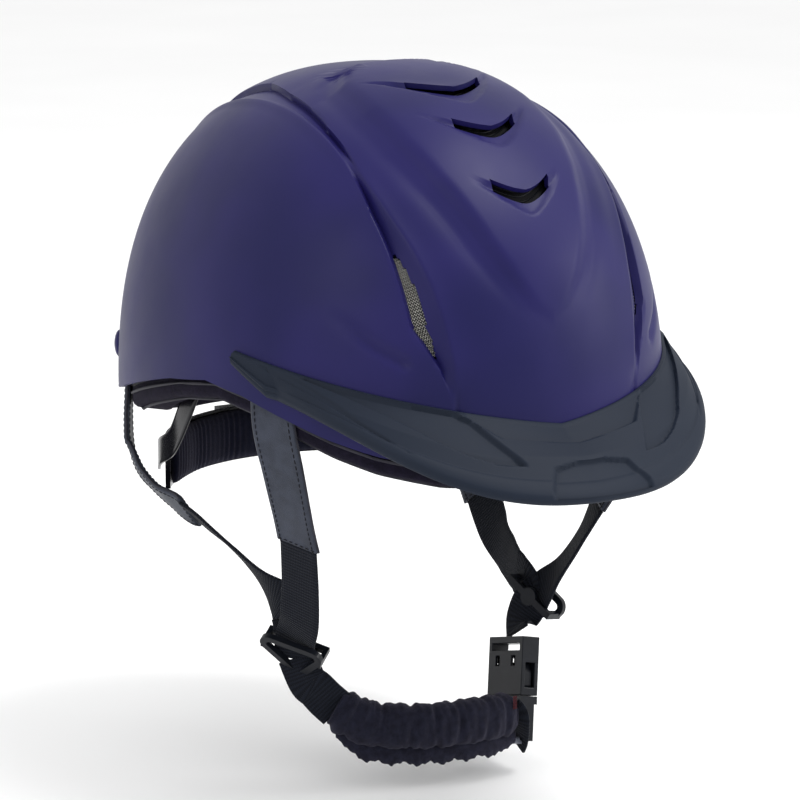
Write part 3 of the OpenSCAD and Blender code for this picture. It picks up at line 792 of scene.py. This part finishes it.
def cavity_at(plan, z, off=0.0):
    s = np.clip(np.abs(z - MID_Z) / (118 + off), 0, 1) ** (1 / SIDE_POWER)
    ring = np.sqrt(1 - s * s) ** SIDE_POWER
    a = np.radians(plan)
    return np.stack([(85 + off) * ring * signed_power(np.cos(a), PLAN_POWER),
                     (105 + off) * ring * signed_power(np.sin(a), PLAN_POWER), z + 0 * ring], -1)


round_plan = np.linspace(0, 360, 240, endpoint=False)
section = [(-6.2, None, 0), (-6.0, None, -2.5), (-6.1, None, -6.0), (-6.6, None, -7.6),
           (-8.0, None, -8.7), (-10.5, None, -9.1), (0, 4.2, -9.2), (0, 2.2, -8.8),
           (0, 0.7, -7.4), (0, 0.1, -5.0), (0, 0, 0), (0, 0.2, 0.6), (-6.4, None, 0.6)]
trim_rings = rim_ring(round_plan, section)
trim = loft("trim", trim_rings, trim_felt, closed=True)
piping = sweep("trim_piping", [[r[5] + np.array([0, 0, -0.4]) for r in trim_rings + trim_rings[:1]],
                               [r[1] * 1.002 for r in trim_rings + trim_rings[:1]]],
               piping_grey, 0.7)
trim = join_pieces("trim", [trim, piping])
dress(trim, "helmet", "felt", "liner_trim")

climb = np.linspace(0, 1, 40)


def climb_to_level(low, height, t):
    start = np.arcsin(np.clip(signed_power((low - MID_Z) / height, 1 / SIDE_POWER), -1, 1))
    angle = start + (math.pi / 2 - start) * t
    return MID_Z + height * signed_power(np.sin(angle), SIDE_POWER)


rings = []
for a in round_plan[::2]:
    low = rim_level(a) + 0.4
    outer = [crown_at(a, climb_to_level(low, HALF_H - 6.2, t), -6.2) for t in climb[:-1]]
    inner = [cavity_at(a, climb_to_level(low, 118, t), 0) for t in climb[:-1]]
    rings.append(outer + [np.array([0, 0, MID_Z + HALF_H - 6.2]), np.array([0, 0, MID_Z + 118])]
                 + inner[::-1])
liner = loft("liner", rings, foam_beads, closed=True)
dress(liner, "helmet", "foam", "eps_liner")


# %% [markdown]
# Behind the side vents lies a woven wire mesh, made here of zigzag wires stacked across the
# opening. The chevron slots have a plain dark mesh of a few rods. Behind both, a black sheet is
# painted shade for the helmet's dark hollow.

# %% Vent meshes
def patch_lines(side, pitch, from_turn, to_turn, share_low, share_high, depth):
    """Zigzag wires stacked across a side vent's opening. pitch is in degrees of turn."""
    lines = []
    for start in np.arange(from_turn, to_turn, pitch):
        share = np.linspace(share_low, share_high, 15)
        turns = start + np.where(np.arange(15) % 2, 0.5, -0.5) * pitch * 0.8
        edge, lip = band_edge(turns), panel_lip(turns)
        p = crown_by_turn(turns, edge + (lip - edge) * share)
        p = p + crown_normal(p) * (depth - 0.2 * (np.arange(15) % 2))[:, None]
        lines.append(p * [side, 1, 1])
    return lines


def painted_shade_sheet(side, from_turn, to_turn, share_low, share_high, depth):
    """A dark sheet with a little thickness behind a vent: painted shade for the hollow behind it.
    """
    turns = np.linspace(from_turn, to_turn, 20)
    rings = []
    for t in turns:
        edge, lip = band_edge(t), panel_lip(t)
        x = edge + (lip - edge) * np.linspace(share_low, share_high, 8)
        p = crown_by_turn(np.full(8, t), x)
        n = crown_normal(p)
        rings.append(np.concatenate([p + n * depth, (p + n * (depth - 0.5))[::-1]])
                     * [side, 1, 1])
    return rings


for side, word in ((1, "left"), (-1, "right")):
    wires = sweep(f"vent_wires_{word}", patch_lines(side, 0.62, 19.5, 39, 0.44, 1.06, -4.3),
                  vent_wire, 0.22)
    # a black sheet behind the wires: painted shade for the hollow behind the vent
    back = loft(f"vent_painted_shade_{word}", painted_shade_sheet(side, 19, 39.5, 0.46, 1.08, -5.2), painted_shade_black)
    vent = join_pieces(f"side_vent_{word}", [wires, back])
    dress(vent, "helmet", "mesh", f"side_vent_mesh_{word}")

slot_pieces = []
for number, (_, lower, upper, reach_x, _) in enumerate(CHEVRONS):
    xs = np.linspace(-reach_x - 2, reach_x + 2, 25)
    rings = []
    for x in xs:
        row = np.linspace(lower - 1.5, upper + 1.5, 6)
        turns = row + arrow(abs(x), row)
        p = crown_by_turn(turns, np.full(6, abs(x)))
        n = crown_normal(p)
        flip = [1 if x >= 0 else -1, 1, 1]
        rings.append(np.concatenate([p + n * -3.4, (p + n * -4.0)[::-1]]) * flip)
    # a black sheet behind the slot: painted shade for the hollow behind it
    slot_pieces.append(loft(f"slot_painted_shade_{number}", rings, painted_shade_black))
    grid = [np.array([(r[k] + r[k + 1]) / 2 + [0, 0, 0.25] for r in rings]) for k in range(5)]
    slot_pieces.append(sweep(f"slot_wires_{number}", grid, buckle_plastic, 0.28))
slots = join_pieces("chevron_mesh", slot_pieces)
dress(slots, "helmet", "mesh", "chevron_vent_mesh")

# %% [markdown]
# ## The peak
# The peak is one rubber moulding. Each section runs from the shell over the top to a rolled edge
# and back underneath. A step band follows the shell, a sunk panel lies on each side of the middle
# and a shallow tongue opens at the front edge. The relief is a height over two coordinates: the
# angle from the front and the reach from the shell (0) to the edge (1).


# %% Peak
def peak_edge(b):
    t = np.radians(1.242 * min(b, 63))
    return np.array([97.8 * math.sin(t), -2.2 - 170.1 * math.cos(t) ** 0.572,
                     9.3 + 36.1 * math.sin(t) ** 2.92])


def inside_polygon(b, u, corners, soft):
    """Signed softness of a convex or simple outline: 1 well inside, 0 outside."""
    corners = np.array(corners, float)
    scale = np.array([1.0, 45.0])
    point = np.stack([b, u], -1) * scale
    c = corners * scale
    near = np.full(b.shape, 1e9)
    odd = np.zeros(b.shape, bool)
    for p, q in zip(c, np.roll(c, -1, 0)):
        d = q - p
        s = np.clip(((point - p) @ d) / (d @ d), 0, 1)
        near = np.minimum(near, np.linalg.norm(point - p - s[..., None] * d, axis=-1))
        crosses = (p[1] > point[..., 1]) != (q[1] > point[..., 1])
        with np.errstate(divide="ignore", invalid="ignore"):
            at = p[0] + (point[..., 1] - p[1]) * d[0] / d[1]
        odd ^= crosses & (point[..., 0] < at)
    return ramp(np.where(odd, near, -near), -soft, soft)


BAND = [(-1, -0.1), (23, -0.1), (19.5, 0.08), (15.5, 0.27), (1, 0.285), (-1, 0.285)]
PANEL = [(20.2, 0.07), (14, 0.65), (20, 0.655), (25, 0.61), (30, 0.53), (33, 0.43), (39, 0.30),
         (46, 0.16), (58, -0.05), (24, -0.05)]
TONGUE = [(-1, 0.60), (3, 0.605), (8, 0.67), (11, 0.93), (11.3, 1.2), (-1, 1.2)]
TAIL = [(70, -0.1), (60, 0.35), (52.5, 0.58), (47, 0.72), (38, 0.86), (47, 0.66), (53, 0.30),
        (60, -0.1)]


def peak_relief(b, u):
    h = -2.1 * inside_polygon(b, u, PANEL, 0.45)
    h -= 1.9 * inside_polygon(b, u, TONGUE, 0.4)
    h -= 1.9 * inside_polygon(b, u, BAND, 0.45) * (0.35 + 0.65 * np.clip(u / 0.27, 0, 1))
    h -= 0.8 * inside_polygon(b, u, TAIL, 1.2)
    return h


angles = np.linspace(-72, 72, 361)
reaches = np.concatenate([np.linspace(0, 0.86, 52), np.linspace(0.88, 1, 9)])
sections = []
for signed in angles:
    b, side, plan = abs(signed), 1 if signed >= 0 else -1, 270 + abs(signed)
    top = 32.5 + 0.35 * b
    tail = np.clip((b - 63) / 9, 0, 1)
    edge = peak_edge(b) if b < 63 else crown_at(plan, 44 + 11 * tail, 3.2)
    low = min(max(rim_level(plan) + 1, edge[2] - 1.5), top - 2.5)
    inner, outer = crown_at(plan, top, 0.2), crown_at(plan, top - 0.8, 2.6)
    root = crown_at(plan, low, 0.2)
    crest = outer + (edge - outer) * 0.55 + [0, 0, 3.2 * (1 - b / 80)]
    under = root + (edge - root) * 0.6 + [0, 0, 1.2 * (1 - b / 80) - 0.4]
    tops = np.where(reaches[:, None] < 0.55, outer + (crest - outer) * (reaches / 0.55)[:, None],
                    crest + (edge - crest) * ((reaches - 0.55) / 0.45)[:, None])
    span = edge - outer
    normal = np.cross(span, [span[1], -span[0], 0])
    normal = normal / (np.linalg.norm(normal) + 1e-9)
    normal = normal if normal[2] > 0 else -normal
    bulge = peak_relief(np.full(reaches.shape, b), reaches) * (1 - tail)
    bulge = bulge + 0.9 * np.sqrt(np.clip(1 - ((reaches - 0.9) / 0.1) ** 2, 0, 1)) * (reaches > 0.8)
    tops = tops + normal * bulge[:, None]
    away = np.array([edge[0], edge[1], 0]) / np.linalg.norm(edge[:2])
    down = np.array([0, 0, 1.0])
    nose = [edge - down * 0.6 + away * 0.15, edge - down * 1.5 + away * 0.1,
            edge - down * 2.4 - away * 0.35, edge - down * 3.0 - away * 1.1]
    below = [nose[-1] + (under - nose[-1]) * t for t in (0.12, 0.35, 0.7, 1)]
    ring = [inner, inner * 0.5 + outer * 0.5 + [0, 0, 0.25], *tops, *nose, *below,
            (under + root) / 2, root]
    sections.append(np.array(ring) * [side, 1, 1])
peak = loft("peak", sections, peak_rubber)
peak.data.set_sharp_from_angle(angle=math.radians(50))
dress(peak, "helmet", "peak", "visor")


# %% [markdown]
# ## Rivets and pads
# A rivet head is a shallow dome turned about the anchor's axis. The comfort pads are crowned
# closed forms with soft edges, quilted by a shallow seam.


# %% Rivet heads and comfort pads
def anchor_frame(plan, z, side):
    """Place and outward direction of a strap anchor."""
    place = crown_at(plan, z, -0.3)
    a = crown_at(plan, MID_Z)
    out = np.array([a[0] / HALF_W ** 2, a[1] / HALF_L ** 2, 0])
    flip = np.array([side, 1, 1])
    return place * flip, out / np.linalg.norm(out) * flip


def turned_rivet(name, place, out, profile, material):
    """A lathe shape: profile gives (radius, height along out)."""
    along = np.array([0, 0, 1.0])
    across = np.cross(along, out)
    rings = [[place + out * h + (across * math.cos(t) + along * math.sin(t)) * r
              for t in np.linspace(0, math.tau, 28, endpoint=False)] for r, h in profile]
    return loft(name, rings, material)


dome = [(2, -7.6), (2, -2.9), (6.1, -2.4), (6.2, 0), (5.9, 0.7), (5.0, 1.4), (3.6, 1.95),
        (1.9, 2.3), (0.4, 2.4)]
heads = [turned_rivet(f"rivet{s}", *anchor_frame(38, 38, s), dome, shell_paint) for s in (1, -1)]
dress(join_pieces("rear_rivets", heads), "helmet", "shell", "shell_rivets_rear")


def comfort_pad(name, a0, a1, z0, z1, thick=6.0):
    """A pad against the cavity wall: flat on the foam, crowned on the head's side."""
    rings = []
    for i in np.linspace(0, 1, 41):
        a = a0 + (a1 - a0) * i
        ends = (1 - (2 * i - 1) ** 6) ** 0.5
        lip = 1 + 0.04 * math.cos(i * math.tau * 3)
        face, back = [], []
        for k in np.linspace(0, 1, 15):
            z = (z0 + z1) / 2 + (z1 - z0) * (k - 0.5) * (0.9 + 0.1 * ends)
            crown = (1 - abs(2 * k - 1) ** 4) ** 0.6 * ends * lip
            seam = 0.28 * math.exp(-((k - 0.5) / 0.05) ** 2) * ends
            face.append(cavity_at(a, z, -0.7 - (thick - 0.9) * max(crown - seam, 0.03)))
            back.append(cavity_at(a, z, -0.6))
        rings.append(face + back[::-1])
    return loft(name, rings, pad_cloth)


for name, extent in {"brow_pad": (225, 315, 24, 50), "side_pad_left": (-20, 38, 44, 68),
                     "side_pad_right": (142, 200, 44, 68)}.items():
    pad = comfort_pad(name + "_soft", *extent)
    dress(pad, "helmet", "felt", name)
quarters = [comfort_pad(f"crown_{a}", a + 22, a + 68, 92, 116) for a in (0, 90, 180, 270)]
crown_soft = join_pieces("crown_pad_soft", quarters)
dress(crown_soft, "helmet", "felt", "crown_pad")

# %% [markdown]
# ## Straps
# Each strap is a smooth run through a few given points, with a plan angle at each for the
# way its face looks. A rounded section is swept along it. The covers are two layers of
# leather-look with a row of stitches near each edge.


# %% Strap helper
def smooth(points, n):
    """A smooth curve through the points, n steps to a span."""
    p = np.asarray(points, float)
    out = []
    for i in range(len(p) - 1):
        a, b, c, d = p[max(0, i - 1)], p[i], p[i + 1], p[min(len(p) - 1, i + 2)]
        for t in np.arange(n) / n:
            out.append(0.5 * (2 * b + (c - a) * t + (2 * a - 5 * b + 4 * c - d) * t * t
                              + (3 * b - a - 3 * c + d) * t ** 3))
    return np.array(out + [p[-1]])


def strap_frame(route, turns, n=9):
    """Points, width directions and face directions along a strap."""
    path = smooth(route, n)
    turn = np.radians(smooth([[t, 0, 0] for t in turns], n)[:, 0])
    along = np.gradient(path, axis=0)
    along /= np.linalg.norm(along, axis=1, keepdims=True)
    face = np.stack([np.cos(turn), np.sin(turn), 0 * turn], -1)
    across = np.cross(face, along)
    across /= np.linalg.norm(across, axis=1, keepdims=True)
    return path, across, np.cross(along, across)


def strap(name, route, turns, width, thick, material, edge=0.35, n=9):
    """A flat strap with rounded edges."""
    path, across, out = strap_frame(route, turns, n)
    half_w, half_t = width / 2, thick / 2
    span = np.linspace(-1, 1, 9) * (half_w - edge)
    section = [(v, half_t) for v in span] + [(half_w - edge * 0.3, half_t * 0.75), (half_w, 0),
                                             (half_w - edge * 0.3, -half_t * 0.75)]
    section += [(v, -half_t) for v in span[::-1]] + [(-half_w + edge * 0.3, -half_t * 0.75),
                                                     (-half_w, 0),
                                                     (-half_w + edge * 0.3, half_t * 0.75)]
    rings = [[p + a * u + o * v for u, v in section] for p, a, o in zip(path, across, out)]
    return loft(name, rings, material)


def flip(route, side):
    return [[p[0] * side, p[1], p[2]] for p in route]


def flip_turns(turns, side):
    return [t if side > 0 else 180 - t for t in turns]


# %% [markdown]
# ### Covers
# Stitch rows start from the same frame as the cover, moved in from its edge and just proud of
# its face, on both faces.

# %% Covers and webbing
front_exit = [crown_at(-26, 52, -4.8), crown_at(-26, 36, -4.8), [92, -63.5, 24],
              [88.5, -63.5, 8.9], [83, -60.5, -9], [76, -54.5, -26]]
front_turns = [-22, -22, -22, -21, -20, -22]
rear_exit = [crown_at(38, 44, -4.8), crown_at(38, 22, -4.8), [83.6, 84, 4], [84, 81, -9]]
COVER_W, COVER_T, WEB_W, WEB_T = 22.0, 2.4, 19.0, 1.4


def covered_strap(name, route, turns, node):
    """A cover with its stitches, its welt and its squared end."""
    body = strap(name, route, turns, COVER_W, COVER_T, cover_leather, edge=0.9, n=10)
    path, across, out = strap_frame(route, turns, 10)
    half_w, proud = COVER_W / 2, COVER_T / 2 + 0.08
    rows = []
    for face in (1, -1):
        for edge in (-1, 1):
            rows.append(path[6:] + across[6:] * edge * (half_w - 2.3) + out[6:] * proud * face)
        rows.append([path[-2] + across[-2] * v + out[-2] * proud * face
                     for v in np.linspace(-half_w + 2.3, half_w - 2.3, 8)])
    threads = sew(name + "_thread", rows, thread_black)
    groove = sweep(name + "_welt", [path + across * e * (half_w - 0.1) for e in (-1, 1)],
                   piping_grey, 0.55)
    piece = join_pieces(name, [body, threads, groove])
    return dress(piece, "helmet", "cover", node)


for side, word in ((1, "left"), (-1, "right")):
    covered_strap(f"front_cover_{word}", flip(front_exit, side), flip_turns(front_turns, side),
                  f"front_strap_cover_{word}")
covered_strap("rear_cover_left", rear_exit + [[84.5, 70, -22], [84, 59, -33], [82, 49, -41.6]],
              [32, 32, 32, 32, 33, 34, 35], "rear_strap_cover_left")
covered_strap("rear_cover_right",
              flip(rear_exit, -1) + [[-83.5, 68, -19], [-81, 52, -26.5], [-78, 37.4, -30]],
              [148, 148, 148, 145, 128, 118, 114], "rear_strap_cover_right")

right_front = [[-76, -54.5, -26], [-71.5, -48, -47], [-67.5, -40, -64], [-63.6, -30, -74.5],
               [-61.8, -26.6, -79.2], [-60.2, -24.6, -84.5]]
left_front = [[76, -54.5, -26], [71.5, -46.5, -44], [67, -36.5, -60], [63.5, -28.5, -70],
              [61, -24, -76], [57.5, -21.8, -84.5], [53.5, -24, -88.8]]
right_rear = [[-78, 37.4, -30], [-75, 20, -36], [-71.3, 0.7, -45], [-68, -15, -54.5],
              [-66.2, -24, -59.5], [-65, -29.4, -64], [-62.6, -27.4, -73]]
left_rear = [[82, 49, -41.6], [76, 28.6, -55.8], [70.5, 10, -62], [66.5, -2, -65],
             [64.5, -9, -66.5], [62.6, -17, -69.5], [61, -21, -75]]
piece = strap("front_web_right", right_front, [202, 206, 214, 220, 221, 221], WEB_W, WEB_T,
              webbing_cloth)
dress(piece, "helmet", "webbing", "front_strap_right")
piece = strap("front_web_left", left_front, [-24, -36, -34, -10, 14, 8, 2], WEB_W, WEB_T,
              webbing_cloth)
dress(piece, "helmet", "webbing", "front_strap_left")
for name, route, turns, node, body, start, end in (
        ("rear_web_right", right_rear, [114, 118, 126, 150, 205, 221, 221], "rear_strap_right",
         "adjuster_r", (-0.072, 0.004, -0.044), (-0.0655, -0.027, -0.061)),
        ("rear_web_left", left_rear, [35, 30, 22, 16, 14, 14, 14], "rear_strap_left",
         "adjuster_l", (0.0715, 0.012, -0.061), (0.0645, -0.009, -0.0665))):
    piece = strap(name, route, turns, WEB_W, WEB_T, webbing_cloth)
    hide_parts(node)
    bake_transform(piece)
print("straps done")

# %% [markdown]
# ## Chin sleeve
# The sleeve is quilted fleece round the chin strap: a fat flattened tube, gathered by tucks that
# pull it in at uneven steps. A flap overlaps below it, with a soft, wavy lower edge.

# %% Sleeve and flap
sleeve_run = [[-47, -35, -106], [-34, -41, -113.5], [-17, -49, -115.5], [-3, -52.5, -116],
              [15, -54, -116], [33, -51, -117]]
path = smooth(sleeve_run, 26)
along = np.gradient(path, axis=0)
along /= np.linalg.norm(along, axis=1, keepdims=True)
length = np.concatenate([[0], np.cumsum(np.linalg.norm(np.diff(path, axis=0), axis=1))])
rng = np.random.default_rng(7)
tucks = np.cumsum(rng.uniform(9, 14, 8)) - 4
rings = []
for p, a, s in zip(path, along, length):
    up = np.array([0, 0, 1]) - a * a[2]
    up /= np.linalg.norm(up)
    side = np.cross(a, up)
    tuck = sum(math.exp(-((s - t) / 1.5) ** 2) for t in tucks)
    end = min(s, length[-1] - s)
    close = 0.74 + 0.26 * ramp(end, 0, 5)
    ring = []
    for k in range(40):
        t = k / 40 * math.tau
        fold = 0.45 * math.sin(s * 0.9 + 3 * t) + 0.3 * math.sin(s * 1.7 - 2 * t + 1)
        fat = close * (1 - 0.10 * tuck * (1 + 0.3 * math.sin(2 * t + s)))
        ring.append(p + up * ((10 * fat + fold * 0.5) * math.copysign(abs(math.cos(t)) ** 0.8,
                                                                   math.cos(t)))
                    + side * ((7 * fat + fold * 0.5) * math.copysign(abs(math.sin(t)) ** 0.8,
                                                                    math.sin(t))))
    rings.append(ring)
sleeve = loft("sleeve", rings, sleeve_fleece)
dress(sleeve, "chin", "felt", "chin_sleeve")

flap_rings = []
for i, (p, a, s) in enumerate(zip(path, along, length)):
    wave = 0.8 * math.sin(s * 0.55) + 0.4 * math.sin(s * 1.7 + 1)
    edge = min(s, length[-1] - s)
    drop = (5.6 + wave) * (0.35 + 0.65 * ramp(edge, 0, 10))
    side = np.cross(a, [0, 0, 1])
    side /= np.linalg.norm(side)
    front = p + side * (-2.2 if side[1] > 0 else 2.2)
    profile = [(0.9, -7.5), (1.3, -10.5), (1.2, -10.5 - drop * 0.5), (0.7, -10.5 - drop),
               (0, -10.8 - drop), (-0.7, -10.5 - drop), (-1.0, -10.5 - drop * 0.5), (-0.8, -7.5)]
    flap_rings.append([front + side * u + np.array([0, 0, v + 0.15 * math.sin(s * 3 + v)])
                       for u, v in profile])
flap = loft("sleeve_flap", flap_rings, sleeve_fleece)
dress(flap, "chin", "felt", "chin_flap")

chin_run = [[-60.2, -25.5, -84], [-57, -28.5, -94.5], [-54.5, -31.5, -97.5], [-51, -34, -102],
            [-46, -35.6, -107]]
piece = strap("chin_web", chin_run, [221, 221, 226, 232, 238], WEB_W - 1, WEB_T, webbing_cloth)
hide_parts("chin_webbing")
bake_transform(piece)
tail_run = [[30, -51, -116], [33, -50.5, -118], [36.2, -47.5, -123.5], [38.6, -44.6, -128.2],
            [39.6, -42.8, -130.8]]
piece = strap("chin_tail_web", tail_run, [32, 30, 22, 12, 6], WEB_W, WEB_T, webbing_cloth)
dress(piece, "chin", "webbing", "chin_tail")

# %% [markdown]
# ### Small parts at the sleeve's end
# A pale moulded tab closes the plug's lower end, and a short bar of red stitches ties the sleeve
# to the strap beside the buckle.


# %% End tab and bar of stitches
def rounded_block(name, centre, turn, sizes, material, radius):
    """A block with rounded edges, turned by Euler angles in degrees."""
    turned = Euler([math.radians(t) for t in turn]).to_matrix()
    half = np.array(sizes) / 2
    rings = []
    for v, inset in ((-1, radius), (-1, 0), (1, 0), (1, radius)):
        edge = -1 if v < 0 else 1
        height = edge * (half[2] if inset else half[2] - radius)
        ring = []
        for k in range(24):
            t = (k + 0.5) / 24 * math.tau
            c, s = math.cos(t), math.sin(t)
            x = math.copysign(min(abs(c) * 1.35, 1), c) * (half[0] - inset)
            y = math.copysign(min(abs(s) * 1.35, 1), s) * (half[1] - inset)
            ring.append(np.array(turned @ Vector((x, y, height))) + centre)
        rings.append(ring)
    return loft(name, rings, material)


tab = rounded_block("plug_end_tab", (37.6, -38.6, -133.0), (-14, 12, 0), (7.5, 25, 3.0),
                    end_tab_grey, 0.7)
tab.data.set_sharp_from_angle(angle=math.radians(40))
dress(tab, "chin", "plastic")
tack = sew("sleeve_tack", [[(29.5 + 0.5 * i, -58.6, z) for z in (-107.2, -109.6, -112)]
                           for i in range(4)], thread_red, 1.0, 1.4, 0.45)
dress(tack, "chin", "webbing")

# %% [markdown]
# ## Cradle
# The nape cradle is a glossy band with a velvet pad inside that puckers into upright folds. Two
# flexible arms join it to the liner.

# %% Cradle pad and arms
rings = []
for deg in np.linspace(90 - 54, 90 + 54, 170):
    a = math.radians(deg)
    out = np.array([math.cos(a), math.sin(a), 0])
    ends = (1 - abs((deg - 90) / 54) ** 10) ** 0.5
    pucker = 0.8 * math.sin(deg * 1.25) ** 4 * (0.6 + 0.4 * math.sin(deg * 0.37))
    ring = []
    for h, r in ((-10.8, 83.6), (-11.6, 82.2), (-11.2, 80.4), (-8, 79.2), (-3, 78.8), (3, 78.8),
                 (8, 79.2), (11.2, 80.4), (11.6, 82.2), (10.8, 83.6), (5, 83.7), (-5, 83.7)):
        deep = (83.7 - r) / 4.9
        ring.append(np.array([0, 24, -14.0]) + out * (83.7 - (83.7 - r) * (0.45 + 0.55 * ends)
                                                    + pucker * deep)
                    + [0, 0, h * (0.97 + 0.03 * ends)])
    rings.append(ring)
velvet = loft("cradle_velvet_pad", rings, cradle_velvet)
dress(velvet, "cradle", "velvet", "cradle_pad")

arm_run = [[79.2, 24, 37], [81.7, 34, 16], [80.7, 48, 0], [77, 66, -8], [72.2, 76.5, -13]]
for side, word in ((1, "left"), (-1, "right")):
    piece = strap(f"cradle_arm_{word}", flip(arm_run, side),
                  flip_turns([0, 6, 14, 22, 32], side), 12, 1.4, cradle_gloss, edge=0.4)
    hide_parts(f"arm_{word}")
    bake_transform(piece)


# %% [markdown]
# ## Moulded hardware
# The buckle, the adjusters and the dial keep their engineered shapes. On every part doubles are
# merged and flat faces are cleaned up; the buckle, its prongs, the adjusters and the cradle band
# also get a small radius, as any moulded part has, from a bevel that follows each sharp edge.


# %% Polished hardware
def polish(node, material, radius):
    part = parts[node]
    part.data.materials.clear()
    part.data.materials.append(material)
    weld = part.modifiers.new("weld", "WELD")
    weld.merge_threshold = 1e-5
    flat = part.modifiers.new("flat", "DECIMATE")
    flat.decimate_type = "DISSOLVE"
    flat.angle_limit = math.radians(2)
    if radius:
        edge = part.modifiers.new("edge", "BEVEL")
        edge.width = radius * MM
        edge.segments = 2
        edge.limit_method = "ANGLE"
        edge.angle_limit = math.radians(35)


polish("buckle_socket", buckle_plastic, 0.6)
for node in ("buckle_plug", "adjuster_left", "adjuster_right"):
    polish(node, buckle_plastic, 0.7)
for node in ("buckle_prong_front", "buckle_prong_rear"):
    polish(node, buckle_plastic, 0.4)
for node in ("dial_housing", "dial_knob", "rack_left", "rack_right", "dial_cover"):
    polish(node, buckle_plastic, 0)
polish("cradle_band", cradle_gloss, 0.5)
for node in ("visor_pegs", "anchor_washers", "arm_anchors", "dial_screw", "shell_rivets_front"):
    polish(node, bare_steel, 0)

# %% [markdown]
# ## Floor
# The floor is a wide pale disc just below the lowest piece.

# %% Floor
bpy.ops.mesh.primitive_circle_add(vertices=96, radius=6, fill_type="NGON",
                                  location=(0, 0, -0.145))
floor = bpy.context.object
floor.name = "floor"
floor.data.materials.append(floor_white)
